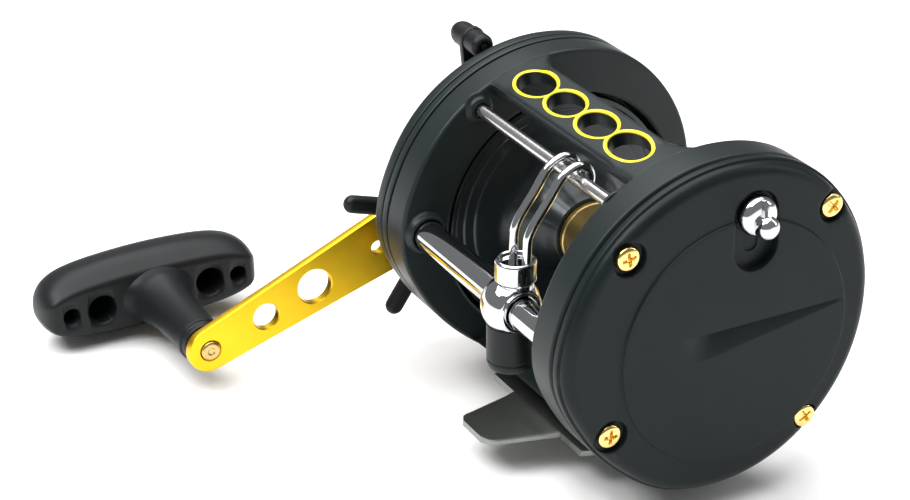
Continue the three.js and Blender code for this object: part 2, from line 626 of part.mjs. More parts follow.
function clickerButton() {
  const [y, z] = CLICK_REST;
  const face = TAIL.face;
  const dome = turned([[face - 0.8, 0], [face - 0.8, 4.5], [face + 0.7, 4.5], [face + 2, 3.9],
    [face + 2.9, 2.6], [face + 3.2, 0]], y, z, 20);
  const nib = turned([[face + 1, 0], [face + 1, 2.6], [face + 4.3, 2.5], [face + 5.2, 1.7],
    [face + 5.4, 0]], y + 0.5, z - 1.6, 16);
  const stem = barX(34.4, face, 1.3, y, z, 12);
  const pin = barX(32.3, 34.6, 0.9, y, z, 10);
  return join([dome, nib, stem, pin]);
}
add('clicker_button', clickerButton(), 'chrome');

// Tongue hung on the button's pin; pushed down, its tip drops between the click gear's teeth.
function clickPawl() {
  const [y, z] = CLICK_REST;
  const shape = new THREE.Shape();
  shape.moveTo(y + 1.9, z);
  shape.absarc(y, z, 1.9, 0, Math.PI, false);
  shape.lineTo(-0.5, z - 9);
  shape.lineTo(0, 7.85 + CLICK.travel);
  shape.lineTo(0.45, 7.95 + CLICK.travel);
  shape.lineTo(y + 1.2, z - 9);
  shape.closePath();
  return cut(plateX(shape, 33, 34, 6), [barX(30, 37, 1.2, y, z, 12)]);
}
add('click_pawl', clickPawl(), 'steel');
const clip = cut(barX(32.35, 32.7, 2, ...CLICK_REST, 14), [barX(31, 34, 1.2, ...CLICK_REST, 12)]);
add('click_pawl_clip', clip, 'steel');
add('click_spring', wire(new Helix(34.7, 1.9, 1.9, 2.5, ...CLICK_REST), 0.22, 22, 2), 'steel');

// ---- gear train -------------------------------------------------------------------------------
function gear(teeth, [y, z], x0, x1, bore, turn = 0) {
  return cut(plateX(gearShape(teeth, y, z, turn), x0, x1), [barX(x0 + 2, x1 - 2, bore, y, z, 16)]);
}
// Angle that brings a gap of the second gear onto a tooth of the first, along their centre line.
function meshTurn(fromTeeth, fromTurn, from, toTeeth, to) {
  const line = Math.atan2(to[1] - from[1], to[0] - from[0]) * 180 / Math.PI;
  const phase = ((line - fromTurn) * fromTeeth / 360) % 1;
  return line + 180 + 360 * (phase + 0.5) / toTeeth;
}
const PINION_TURN = meshTurn(TEETH.main, 0, DRIVE, TEETH.pinion, [0, 0]);
const IDLER_TURN = meshTurn(TEETH.main, 0, DRIVE, TEETH.idler, IDLER);
const WORM_TURN = meshTurn(TEETH.idler, IDLER_TURN, IDLER, TEETH.worm, [WIND.y, WIND.z]);

add('main_gear', gear(TEETH.main, DRIVE, GEAR.start, GEAR.end, 3.3), 'brass');
add('idler_gear', gear(TEETH.idler, IDLER, GEAR.start, GEAR.small, 1.5, IDLER_TURN), 'fibre');
add('worm_gear', gear(TEETH.worm, [WIND.y, WIND.z], GEAR.start, GEAR.small, 1.6, WORM_TURN), 'fibre');

function pinion() {
  const toothed = plateX(gearShape(TEETH.pinion, 0, 0, PINION_TURN), GEAR.start, -42.8);
  const neck = turned([[-42.7, 0], [-42.7, 2.9], [-44.1, 2.9], [-44.1, 4.1], [-44.7, 4.1],
    [-44.7, 0]], 0, 0, 16);
  return cut(toothed.add(neck), [barX(-38, -46, SHAFT_R + CLEAR, 0, 0, 12)]);
}
add('pinion', pinion(), 'brass');

function driveShaft() {
  const [y, z] = DRIVE;
  const body = turned([[-33.4, 0], [-33.4, 2.8], [-48.4, 2.8], [-48.4, 2.5], [-60.9, 2.5],
    [-60.9, 0]], y, z, 18);
  const flats = [-1, 1].map((side) => box(-60.9, -55, y + side * 1.9, y + side * 4, z - 4, z + 4));
  return cut(body, flats);
}
add('drive_shaft', driveShaft(), 'steel');

function disc(x0, x1, outer, inner) {
  return cut(barX(x0, x1, outer, ...DRIVE, 24), [barX(x0 + 2, x1 - 2, inner, ...DRIVE, 16)]);
}
add('drag_washer_inner', disc(-42.2, -42.9, 10.6, 3.3), 'fibre');
add('drag_plate', disc(-43.2, -44, 10.2, 3.3), 'steel');
add('drag_washer_outer', disc(-44.3, -44.9, 9.4, 3.3), 'fibre');
add('drag_sleeve', disc(-45.2, -51.5, 3.9, 3.1), 'steel');

function ratchet() {
  const plate = plateX(ratchetShape(14, 8.6, 7, ...DRIVE), DOG.x0, DOG.x1);
  return cut(plate, [barX(-32, -37, 3.1, ...DRIVE, 14)]);
}
add('anti_reverse_ratchet', ratchet(), 'steel');

function dog() {
  const reach = [DRIVE[0] - DOG.y, DRIVE[1] - DOG.z];
  const span = Math.hypot(...reach);
  const [uy, uz] = reach.map((part) => part / span);
  const at = (along, aside) => [DOG.y + along * uy - aside * uz, DOG.z + along * uz + aside * uy];
  const shape = shapeOf([at(-2.4, -2), at(-2.4, 2), at(3, 2.2), at(span - 9.4, 5.2),
    at(span - 9.6, 4.2), at(4, -2)]);
  return cut(plateX(shape, DOG.x0, DOG.x1), [barX(-32, -37, 1.5, DOG.y, DOG.z, 12)]);
}
add('anti_reverse_dog', dog(), 'steel');
add('dog_spring', wire(new Helix(-36.5, 0.7, 2.2, 1.5, DOG.y, DOG.z), 0.14, 14, 2), 'steel');

// ---- free spool: yoke in the pinion's groove, two springs, cam and thumb lever ----------------
function yoke() {
  const [uy, uz] = ACROSS;
  const [py, pz] = [-uz, uy];
  const at = (along, aside) => [along * uy + aside * py, along * uz + aside * pz];
  const outline = shapeOf([at(-14, -2.8), at(12, -2.8), at(12, 2.8), at(5, 5), at(-5, 5),
    at(-14, 2.8)]);
  const plate = plateX(outline, -43, -43.8);
  const mouth = plateX(shapeOf([at(-3.3, -8), at(3.3, -8), at(3.3, 0), at(-3.3, 0)]), -42, -45);
  const holes = POSTS.map(([y, z]) => barX(-42, -45, 1.35, y, z, 12));
  return cut(plate, [mouth, barX(-42, -45, 3.3, 0, 0, 18), ...holes]);
}
add('pinion_yoke', yoke(), 'steel');
POSTS.forEach(([y, z], i) => {
  add(`yoke_spring_${i + 1}`, wire(new Helix(-44.1, -1.6, 1.75, 1.5, y, z), 0.2, 14, 2), 'steel');
});

// Cam sector on the lever's shaft: its face climbs by the pinion's travel as the lever swings.
function leverCam() {
  const { y, z } = LEVER;
  const [low, reach, base, face] = [2, 8.3, -41.4, -42.7];
  const position = [];
  const index = [];
  const steps = 6;
  for (let i = 0; i <= steps; i += 1) {
    const rise = FREE * Math.min(i, steps - 1) / (steps - 1);
    const angle = CAM.start - (CAM.sweep * i) / (steps - 1);
    [low - 1, reach].forEach((radius) => {
      const [py, pz] = polar(radius, angle);
      position.push(base, y + py, z + pz, face - rise, y + py, z + pz);
    });
    if (i === 0) continue;
    const [a, b] = [4 * (i - 1), 4 * i];
    [[0, 2], [2, 3], [3, 1], [1, 0]].forEach(([p, q]) => {
      index.push(a + p, b + p, a + q, a + q, b + p, b + q);
    });
  }
  const end = 4 * steps;
  index.push(0, 2, 1, 1, 2, 3, end, end + 1, end + 2, end + 1, end + 3, end + 2);
  const geometry = new THREE.BufferGeometry();
  geometry.setAttribute('position', new THREE.Float32BufferAttribute(position, 3));
  geometry.setIndex(index);
  return solid(geometry);
}

function freeSpoolLever() {
  const { x, thick, y, z, tabY, tabZ, tabR, tabIn, tabOut } = LEVER;
  const dir = new THREE.Vector2(tabY - y, tabZ - z).normalize();
  const at = (py, pz, side, reach) => [
    py - dir.y * side + dir.x * reach,
    pz + dir.x * side + dir.y * reach,
  ];
  const shape = shapeOf([at(y, z, 4.4, -2.6), at(y, z, 5, 1), at(tabY, tabZ, 3, 1),
    at(tabY, tabZ, -3, 1), at(y, z, -5, 1), at(y, z, -4.4, -2.6), at(y, z, 0, -5)]);
  const arm = plateX(shape, x, x - thick);
  const tab = turned([[tabIn, 0], [tabIn, 2.6], [tabIn - 0.6, tabR], [tabOut + 1.6, tabR],
    [tabOut + 0.5, tabR - 0.8], [tabOut, tabR - 2], [tabOut, 0]], tabY, tabZ, 20);
  const socket = barX(tabIn + 1, tabIn - 1.2, 1.2, tabY, tabZ, 10);
  const shaft = barX(x - 0.5, -41.4, 2, y, z, 12);
  return cut(join([arm, tab, shaft, leverCam()]), [socket]);
}
add('free_spool_lever', freeSpoolLever(), 'plastic');

// ---- star drag, handle and grip ---------------------------------------------------------------
function starDrag() {
  const { x, thick, hubR, tip, arms, first } = STAR;
  const [y, z] = DRIVE;
  const hub = turned([[x, 0], [x, hubR - 1], [x - 0.8, hubR], [x - thick, hubR], [x - thick, 0]], y, z, 24);
  const limbs = [];
  for (let i = 0; i < arms; i += 1) {
    const limb = new THREE.CapsuleGeometry(2.15, tip - 4.4 - 5, 2, 8);
    limb.scale(1, 1, 0.78);
    limb.translate(0, (tip + 5) / 2, 0);
    limb.applyMatrix4(new THREE.Matrix4().makeBasis(
      new THREE.Vector3(0, 0, 1),
      new THREE.Vector3(0, 1, 0),
      new THREE.Vector3(-1, 0, 0),
    ));
    limb.rotateX(rad(first + i * 360 / arms));
    limb.translate(x - thick / 2, y, z);
    limbs.push(solid(limb));
  }
  return cut(join([hub, ...limbs]), [barX(x + 2, x - 6, 2.9, y, z, 16)]);
}
add('star_drag', starDrag(), 'plastic');

const armPoint = (along, aside = 0) => {
  const [uy, uz] = polar(1, ARM.angle);
  return [DRIVE[0] + along * uy - aside * uz, DRIVE[1] + along * uz + aside * uy];
};
function handleArm() {
  const edge = [];
  for (let a = 90; a <= 270; a += 20) {
    const [along, aside] = polar(ARM.hubR, a);
    edge.push(armPoint(along, aside));
  }
  for (let a = -80; a <= 80; a += 16) {
    const [along, aside] = polar(ARM.tipR, a);
    edge.push(armPoint(ARM.length + along * 0.95, aside));
  }
  const plate = plateX(shapeOf(edge), ARM.x, ARM.x - ARM.thick);
  const holes = [[49.5, 3.5], [36.1, 4.5], [18.5, 1.6]].map(([along, radius]) => {
    const [y, z] = armPoint(along);
    return barX(ARM.x + 3, ARM.x - 5, radius, y, z, 16);
  });
  const [ry, rz] = armPoint(ARM.length);
  const rivetHole = barX(ARM.x + 3, ARM.x - 5, 2.5, ry, rz, 16);
  const bore = cut(barX(ARM.x + 3, ARM.x - 5, 2.8, ...DRIVE, 16), [-1, 1].map((side) => box(
    ARM.x + 4,
    ARM.x - 6,
    DRIVE[0] + side * 2.2,
    DRIVE[0] + side * 5,
    DRIVE[1] - 4,
    DRIVE[1] + 4,
  )));
  return cut(plate, [...holes, rivetHole, bore]);
}
add('handle_arm', handleArm(), 'gold');

function handleNut() {
  const [y, z] = DRIVE;
  const points = [];
  for (let i = 0; i < 6; i += 1) {
    const [py, pz] = polar(5.4, 60 * i + 10);
    points.push([y + py, z + pz]);
  }
  const dome = turned([[-60.6, 0], [-60.6, 4.6], [-61.8, 4.2], [-62.6, 3], [-62.9, 0]], y, z, 16);
  return cut(plateX(shapeOf(points), -58.7, -60.8).add(dome), [barX(-50, -61.2, 2.8, y, z, 16)]);
}
add('handle_nut', handleNut(), 'chrome');

function gripSpindle() {
  const [y, z] = armPoint(ARM.length);
  const back = ARM.x - ARM.thick - 0.3;
  return turned([[ARM.x + 0.5, 0], [ARM.x + 0.5, 2.2], [back, 2.2], [back, 2], [ARM.x - 34, 2],
    [ARM.x - 34, 2.6], [ARM.x - 35.4, 2.6], [ARM.x - 35.4, 0]], y, z, 14);
}
add('grip_spindle', gripSpindle(), 'screw');

// Paddle grip: a tapering stem carrying a crowned cross bar with round pockets in its inner face.
function gripSection(share) {
  const { half, wide, deep } = GRIP;
  const along = half * Math.sin(share * Math.PI / 2);
  const taper = Math.sqrt(Math.max(0.02, 1 - Math.abs(share) ** 3.2));
  const points = [];
  for (let i = 0; i < 14; i += 1) {
    const angle = 2 * Math.PI * i / 14;
    const [c, s] = [Math.cos(angle), Math.sin(angle)];
    const outward = s > 0 ? deep * (0.78 + 0.22 * Math.cos(share * 1.5)) : deep * 0.62;
    points.push([
      along,
      wide * taper * Math.sign(c) * Math.abs(c) ** 0.8,
      outward * taper * Math.sign(s) * Math.abs(s) ** 0.8,
    ]);
  }
  return points;
}
function grip() {
  const [y, z] = armPoint(ARM.length);
  const base = ARM.x - ARM.thick;
  const shares = [-1, -0.88, -0.66, -0.35, 0, 0.35, 0.66, 0.88, 1];
  const bar = loftX(shares.map((share) => [GRIP.half * Math.sin(share * Math.PI / 2),
    gripSection(share).map((point) => [point[1], point[2]])]));
  // Bar axis lies across the arm; its crown faces outboard.
  const turn = new THREE.Matrix4().makeBasis(
    new THREE.Vector3(0, Math.cos(rad(GRIP.tilt)), Math.sin(rad(GRIP.tilt))),
    new THREE.Vector3(0, -Math.sin(rad(GRIP.tilt)), Math.cos(rad(GRIP.tilt))),
    new THREE.Vector3(-1, 0, 0),
  );
  turn.setPosition(base - GRIP.centre + 6, y, z);
  const body = bar.transform(turn.toArray());
  const stem = turned([[base - GRIP.stemStart, 0], [base - GRIP.stemStart, 6.6], [base - 3, 7],
    [base - GRIP.neck, 7.6], [base - 30, 9.4], [base - 36, 9.4], [base - 36, 0]], y, z, 20);
  const [uy, uz] = [Math.cos(rad(GRIP.tilt)), Math.sin(rad(GRIP.tilt))];
  const pockets = [[-21.5, 2.3], [-14, 3.6], [14, 3.6], [21.5, 2.3]].map(([along, radius]) => barX(
    base - 20,
    base - 35,
    radius,
    y + along * uy,
    z + along * uz,
    14,
  ));
  const bore = join([barX(base + 1, base - 34, 2.35, y, z, 14), barX(base - 31, base - 34.4, 3, y, z, 14)]);
  return cut(body.add(stem), [...pockets, bore]);
}
add('grip', grip(), 'plastic');

export default group;
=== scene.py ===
"""Fine meshes, finishes, light and camera of a level-wind trolling reel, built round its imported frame.

Lengths in the classes are millimetres from the spool's axis and mid-length; Draft.build turns them
into metres in the frame's own axes. X runs along the spool, -Y is the front, +Z is up.
"""
import logging
import math
from dataclasses import dataclass, field
from enum import Enum
from typing import Callable, Sequence

import bmesh
import bpy
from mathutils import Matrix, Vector
from mathutils.geometry import delaunay_2d_cdt


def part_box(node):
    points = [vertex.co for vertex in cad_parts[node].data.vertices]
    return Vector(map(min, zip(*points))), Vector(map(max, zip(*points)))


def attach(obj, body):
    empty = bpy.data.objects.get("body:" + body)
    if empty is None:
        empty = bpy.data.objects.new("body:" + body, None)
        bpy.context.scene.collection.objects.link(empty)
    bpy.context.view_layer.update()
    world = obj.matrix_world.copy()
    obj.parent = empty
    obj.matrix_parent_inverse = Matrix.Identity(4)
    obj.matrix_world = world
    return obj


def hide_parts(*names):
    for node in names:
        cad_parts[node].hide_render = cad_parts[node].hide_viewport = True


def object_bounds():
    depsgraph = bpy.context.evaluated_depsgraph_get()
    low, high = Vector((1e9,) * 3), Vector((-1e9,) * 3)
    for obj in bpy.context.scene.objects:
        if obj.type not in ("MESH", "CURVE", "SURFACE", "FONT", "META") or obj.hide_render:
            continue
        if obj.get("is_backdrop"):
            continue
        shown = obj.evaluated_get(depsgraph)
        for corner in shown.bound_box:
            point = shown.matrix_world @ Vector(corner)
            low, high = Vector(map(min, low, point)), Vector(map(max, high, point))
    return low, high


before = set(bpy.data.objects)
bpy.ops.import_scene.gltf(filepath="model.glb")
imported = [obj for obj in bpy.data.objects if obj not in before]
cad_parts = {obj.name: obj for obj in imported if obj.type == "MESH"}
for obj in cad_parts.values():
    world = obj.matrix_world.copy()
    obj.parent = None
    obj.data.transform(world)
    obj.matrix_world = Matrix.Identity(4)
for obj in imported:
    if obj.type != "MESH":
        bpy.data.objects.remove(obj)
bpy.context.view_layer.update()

LOG = logging.getLogger("reel")

Pair = tuple[float, float]
Point = tuple[float, float, float]

MM = 0.001
TINY = 1e-4


def axis_of(node: str) -> Pair:
    """Find the long axis of a round node.

    Args:
        node: a CAD node that is round about an X-parallel axis.

    Returns:
        Y and Z of the axis in millimetres, in the frame's own axes.
    """
    low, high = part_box(node)
    return (low.y + high.y) / 2 / MM, (low.z + high.z) / 2 / MM


SPOOL_AXIS = axis_of("spool_arbor")


def local_axis(node: str) -> Pair:
    """Give a round node's axis measured from the spool's axis, in millimetres."""
    y, z = axis_of(node)
    return y - SPOOL_AXIS[0], z - SPOOL_AXIS[1]


def span_x(node: str) -> Pair:
    """Give the lowest and highest X of a node, in millimetres."""
    low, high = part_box(node)
    return low.x / MM, high.x / MM


def polar(radius: float, degrees: float) -> Pair:
    """Turn a radius and an angle from the rear (+Y) towards the top (+Z) into Y and Z."""
    angle = math.radians(degrees)
    return radius * math.cos(angle), radius * math.sin(angle)


def circle(radius: float, sides: int, centre: Pair = (0.0, 0.0)) -> list[Pair]:
    """Give evenly spaced points round a circle, starting from its first axis."""
    return [(centre[0] + a, centre[1] + b) for a, b in
            (polar(radius, 360 * i / sides) for i in range(sides))]


def arc(radius: float, first: float, turn: float, steps: int) -> list[Pair]:
    """Give points along an arc that starts at an angle and turns by some degrees."""
    return [polar(radius, first + turn * i / steps) for i in range(steps + 1)]


def smoothstep(t: float) -> float:
    """Ease a share between 0 and 1."""
    t = min(1.0, max(0.0, t))
    return t * t * (3 - 2 * t)


# ---- finishes ----------------------------------------------------------------------------------
class Grain(Enum):
    """How a finish breaks up its surface."""

    MOULDED = "moulded"
    BRUSHED = "brushed"
    POLISHED = "polished"
    FIBRE = "fibre"


@dataclass(frozen=True)
class Finish:
    """One surface finish: colour, gloss and the texture that breaks it up."""

    name: str
    color: Point
    metallic: float
    roughness: float
    grain: Grain
    scale: float = 900.0
    bump: float = 0.05
    depth: float = 0.00004
    mottle: float = 0.12
    # strength of the painted highlight: colour lightened on sharp, convex edges
    edge: float = 0.0
    specular: float = 0.5
    stretch: Point = (1.0, 1.0, 1.0)

    def material(self) -> bpy.types.Material:
        """Make the finish's material, or return the one already made.

        Returns:
            The node material.
        """
        found = bpy.data.materials.get(self.name)
        if found:
            return found
        made = bpy.data.materials.new(self.name)
        made.use_nodes = True
        made.diffuse_color = (*self.color, 1.0)
        tree = made.node_tree
        shader = tree.nodes["Principled BSDF"]
        shader.inputs["Metallic"].default_value = self.metallic
        shader.inputs["Specular IOR Level"].default_value = self.specular
        place = self._node(tree, "TexCoord")
        stretch = self._node(tree, "Mapping", Scale=self.stretch)
        tree.links.new(place.outputs["Object"], stretch.inputs["Vector"])
        self._colour(tree, shader, place)
        self._gloss(tree, shader, stretch)
        self._relief(tree, shader, stretch)
        return made

    @staticmethod
    def _node(tree: bpy.types.NodeTree, kind: str, **values: float | Point) -> bpy.types.ShaderNode:
        """Add a shader node and set its inputs.

        Args:
            tree: the material's nodes.
            kind: type of the node, without its prefix.
            values: input values by name, with underscores for spaces.

        Returns:
            The node.
        """
        made = tree.nodes.new("ShaderNode" + kind)
        for name, value in values.items():
            made.inputs[name.replace("_", " ")].default_value = value
        return made

    def _colour(self, tree: bpy.types.NodeTree, shader: bpy.types.ShaderNode,
                place: bpy.types.ShaderNode) -> None:
        """Mottle the colour softly and paint highlights on sharp edges by lightening their colour.

        Args:
            tree: the material's nodes.
            shader: the surface shader.
            place: node that gives the texture coordinates.
        """
        links = tree.links
        cloud = self._node(tree, "TexNoise", Scale=95.0, Detail=5.0)
        links.new(place.outputs["Object"], cloud.inputs["Vector"])
        ramp = self._node(tree, "ValToRGB")
        for element, position, shift in zip(ramp.color_ramp.elements, (0.32, 0.7), (-1, 1)):
            element.position = position
            element.color = (*(min(1.0, c * (1 + shift * self.mottle)) for c in self.color), 1)
        links.new(cloud.outputs["Fac"], ramp.inputs["Fac"])
        out = ramp.outputs["Color"]
        # painted highlight: sharp edges, found by pointiness, get a lighter colour that stands in for the
        # light they catch
        if self.edge > 0:
            edge_highlight_pointiness = self._node(tree, "NewGeometry")
            sharp = self._node(tree, "MapRange", From_Min=0.53, From_Max=0.66, To_Max=self.edge)
            links.new(edge_highlight_pointiness.outputs["Pointiness"], sharp.inputs["Value"])
            mix = self._node(tree, "Mix")
            mix.data_type = "RGBA"
            mix.inputs[7].default_value = (*(min(1.0, c * 1.9 + 0.03) for c in self.color), 1)
            links.new(sharp.outputs["Result"], mix.inputs[0])
            links.new(out, mix.inputs[6])
            out = mix.outputs[2]
        links.new(out, shader.inputs["Base Color"])

    def _gloss(self, tree: bpy.types.NodeTree, shader: bpy.types.ShaderNode,
               stretch: bpy.types.ShaderNode) -> None:
        """Let the roughness drift a little over the surface.

        Args:
            tree: the material's nodes.
            shader: the surface shader.
            stretch: node that gives the stretched coordinates.
        """
        fine = 600.0 if self.grain == Grain.BRUSHED else 160.0
        spread = 0.18 if self.grain == Grain.POLISHED else 0.12
        drift = self._node(tree, "TexNoise", Scale=fine, Detail=4.0)
        span = self._node(tree, "MapRange", To_Min=self.roughness * (1 - spread),
                          To_Max=min(1.0, self.roughness * (1 + spread)))
        tree.links.new(stretch.outputs["Vector"], drift.inputs["Vector"])
        tree.links.new(drift.outputs["Fac"], span.inputs["Value"])
        tree.links.new(span.outputs["Result"], shader.inputs["Roughness"])

    def _relief(self, tree: bpy.types.NodeTree, shader: bpy.types.ShaderNode,
                stretch: bpy.types.ShaderNode) -> None:
        """Press the grain into the surface as a bump.

        Args:
            tree: the material's nodes.
            shader: the surface shader.
            stretch: node that gives the stretched coordinates.
        """
        if self.grain == Grain.FIBRE:
            grain = self._node(tree, "TexVoronoi", Scale=self.scale)
            out = grain.outputs["Distance"]
        else:
            grain = self._node(tree, "TexNoise", Scale=self.scale, Detail=3.0, Roughness=0.6)
            out = grain.outputs["Fac"]
        bump = self._node(tree, "Bump", Strength=self.bump, Distance=self.depth)
        tree.links.new(stretch.outputs["Vector"], grain.inputs["Vector"])
        tree.links.new(out, bump.inputs["Height"])
        tree.links.new(bump.outputs["Normal"], shader.inputs["Normal"])


# edge= sets how strongly each finish paints highlights on its sharp edges
GRAPHITE = Finish("moulded_graphite", (0.0098, 0.0148, 0.0152), 0.0, 0.4, Grain.MOULDED, 2600, 0.35,
                  mottle=0.1, edge=0.4, specular=0.26)
SATIN_GRAPHITE = Finish("satin_graphite", (0.0076, 0.0118, 0.0124), 0.0, 0.36, Grain.MOULDED, 2600, 0.3,
                        mottle=0.1, edge=0.4, specular=0.15)
NYLON = Finish("black_nylon", (0.0075, 0.009, 0.0098), 0.0, 0.42, Grain.MOULDED, 2200, 0.3, mottle=0.1,
               edge=0.3, specular=0.22)
SPOOL_BLACK = Finish("black_anodised", (0.02, 0.026, 0.028), 0.4, 0.24, Grain.BRUSHED, 1500, 0.12,
                     stretch=(4.0, 1.0, 1.0), edge=0.5)
CHROME = Finish("chrome_plate", (0.64, 0.65, 0.67), 1.0, 0.07, Grain.POLISHED, 500, 0.02, mottle=0.02)
STAINLESS = Finish("stainless_steel", (0.27, 0.285, 0.27), 1.0, 0.36, Grain.BRUSHED, 1400, 0.1,
                   mottle=0.05, stretch=(0.15, 1.0, 1.0))
STEEL = Finish("bright_steel", (0.74, 0.73, 0.72), 1.0, 0.22, Grain.BRUSHED, 1800, 0.05, mottle=0.04,
               stretch=(1.0, 0.2, 0.2))
GOLD = Finish("gold_anodised", (0.83, 0.51, 0.02), 1.0, 0.34, Grain.BRUSHED, 1700, 0.1, mottle=0.05,
              stretch=(1.0, 0.25, 1.0), edge=0.25)
GOLD_PLATE = Finish("gold_plate", (0.95, 0.68, 0.25), 1.0, 0.13, Grain.POLISHED, 700, 0.04, mottle=0.06)
BRASS = Finish("machined_brass", (0.6, 0.43, 0.16), 1.0, 0.32, Grain.BRUSHED, 1500, 0.14, mottle=0.08,
               stretch=(0.3, 1.0, 1.0))
YELLOW = Finish("yellow_enamel", (0.85, 0.7, 0.003), 0.0, 0.36, Grain.POLISHED, 900, 0.05, mottle=0.04)
FRICTION = Finish("friction_fibre", (0.05, 0.045, 0.04), 0.0, 0.85, Grain.FIBRE, 1600, 0.3)


# ---- mesh drafts ---------------------------------------------------------------------------------
class Draft:
    """A mesh being drawn up in millimetres from the spool's axis and mid-length."""

    def __init__(self) -> None:
        """Start with nothing drawn."""
        self.verts: list[Point] = []
        self.faces: list[tuple[int, ...]] = []
        self.tints: list[int] = []

    def ring(self, points: Sequence[Point]) -> list[int]:
        """Add points and return their numbers."""
        start = len(self.verts)
        self.verts.extend(points)
        return list(range(start, len(self.verts)))

    def skin(self, a: Sequence[int], b: Sequence[int], tint: int = 0, closed: bool = True) -> None:
        """Join two rings of equal count with quads, or fan a ring to a single point.

        Args:
            a: first ring.
            b: second ring, or one point.
            tint: number of the finish on these faces.
            closed: whether the rings close on themselves.
        """
        count = max(len(a), len(b))
        for i in range(count if closed else count - 1):
            j = (i + 1) % count
            if len(b) == 1:
                self.face((a[i], a[j], b[0]), tint)
            elif len(a) == 1:
                self.face((a[0], b[j], b[i]), tint)
            else:
                self.face((a[i], a[j], b[j], b[i]), tint)

    def face(self, corners: tuple[int, ...], tint: int = 0) -> None:
        """Add one face."""
        self.faces.append(corners)
        self.tints.append(tint)

    def cap(self, ring: Sequence[int]) -> None:
        """Close a ring with one flat face."""
        self.face(tuple(ring))

    def loft(self, rings: Sequence[Sequence[Point]], wrap: bool = False) -> None:
        """Skin a run of rings and close its ends.

        Args:
            rings: rings of equal count, or single points at the ends.
            wrap: join the last ring back to the first instead of closing the ends.
        """
        numbered = [self.ring(ring) for ring in rings]
        pairs = list(zip(numbered, numbered[1:]))
        if wrap:
            pairs.append((numbered[-1], numbered[0]))
        for a, b in pairs:
            self.skin(a, b)
        if not wrap:
            for end in (numbered[0], numbered[-1]):
                if len(end) > 2:
                    self.cap(end)

    def turned(self, profile: Sequence[Pair], centre: Pair = (0.0, 0.0), sides: int = 64,
               wrap: bool = False) -> None:
        """Turn a profile of (x, radius) about an X-parallel axis.

        Args:
            profile: x and radius of each step.
            centre: y and z of the axis.
            sides: points round the axis.
            wrap: close the profile on itself, for a bored piece.
        """
        self.loft([[(x, *p) for p in circle(r, sides, centre)] if r >= TINY else [(x, *centre)]
                   for x, r in profile], wrap)

    def stood(self, profile: Sequence[Pair], at: Pair, sides: int = 48) -> None:
        """Turn a profile of (z, radius) about an upright axis.

        Args:
            profile: z and radius of each step.
            at: x and y of the axis.
            sides: points round the axis.
        """
        self.loft([[(*p, z) for p in circle(r, sides, at)] if r >= TINY else [(*at, z)]
                   for z, r in profile])

    def rod(self, path: Sequence[Point], radius: float, sides: int = 20) -> None:
        """Sweep a round bar along a path, with rounded ends.

        Args:
            path: points along the middle of the bar.
            radius: radius of the bar.
            sides: points round the bar.
        """
        points = [Vector(p) for p in path]
        last = len(points) - 1
        side = (points[1] - points[0]).orthogonal().normalized()
        rings: list[list[Point]] = []

        def hoop(centre: Vector, reach: float) -> list[Point]:
            """One ring of the bar, square to its run."""
            return [tuple(centre + side * (reach * c) + up * (reach * s)) for c, s in circle(1.0, sides)]

        def dome(way: Vector) -> list[list[Point]]:
            """Rings of a rounded end, from the bar outwards."""
            steps = [(radius * math.cos(math.radians(a)), radius * 0.6 * math.sin(math.radians(a)))
                     for a in (25, 50, 72)]
            rounds = [hoop(point + way * out, r) for r, out in steps]
            return rounds + [[tuple(point + way * (radius * 0.6))]]

        for i, point in enumerate(points):
            way = (points[min(i + 1, last)] - points[max(i - 1, 0)]).normalized()
            side = (side - way * side.dot(way)).normalized()
            up = way.cross(side)
            if i == 0:
                rings.extend(dome(-way)[::-1])
            rings.append(hoop(point, radius))
            if i == last:
                rings.extend(dome(way))
        self.loft(rings)

    def build(self, name: str, body: str, finishes: Sequence[Finish], slot: str,
              replaces: Sequence[str] = (), smooth: float = 38.0, merge: float = 0.004) -> bpy.types.Object:
        """Make the object, dress it and hang it on its body.

        Args:
            name: name of the piece.
            body: CAD body that it rides on.
            finishes: finishes in the order of the tints.
            slot: material slot of the record; not used.
            replaces: CAD nodes that it stands for.
            smooth: edges sharper than this many degrees stay crisp.
            merge: points nearer than this, in millimetres, become one.

        Returns:
            The object.
        """
        mesh = bpy.data.meshes.new(name)
        oy, oz = SPOOL_AXIS
        mesh.from_pydata([(x * MM, (y + oy) * MM, (z + oz) * MM) for x, y, z in self.verts], [], self.faces)
        for polygon, tint in zip(mesh.polygons, self.tints):
            polygon.material_index = tint
        work = bmesh.new()
        work.from_mesh(mesh)
        bmesh.ops.remove_doubles(work, verts=work.verts, dist=merge * MM)
        bmesh.ops.dissolve_degenerate(work, edges=work.edges, dist=merge * MM * 0.2)
        loose = [v for v in work.verts if not v.link_faces]
        bmesh.ops.delete(work, geom=loose, context="VERTS")
        bmesh.ops.recalc_face_normals(work, faces=work.faces)
        work.to_mesh(mesh)
        work.free()
        mesh.shade_smooth()
        mesh.set_sharp_from_angle(angle=math.radians(smooth))
        made = bpy.data.objects.new(name, mesh)
        bpy.context.scene.collection.objects.link(made)
        weighted = made.modifiers.new("even_normals", "WEIGHTED_NORMAL")
        weighted.keep_sharp = True
        weighted.weight = 50
        for finish in finishes:
            mesh.materials.append(finish.material())
        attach(made, body)
        if replaces:
            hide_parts(*replaces)
        LOG.info("%s: %d faces on %s", name, len(mesh.polygons), body)
        return made


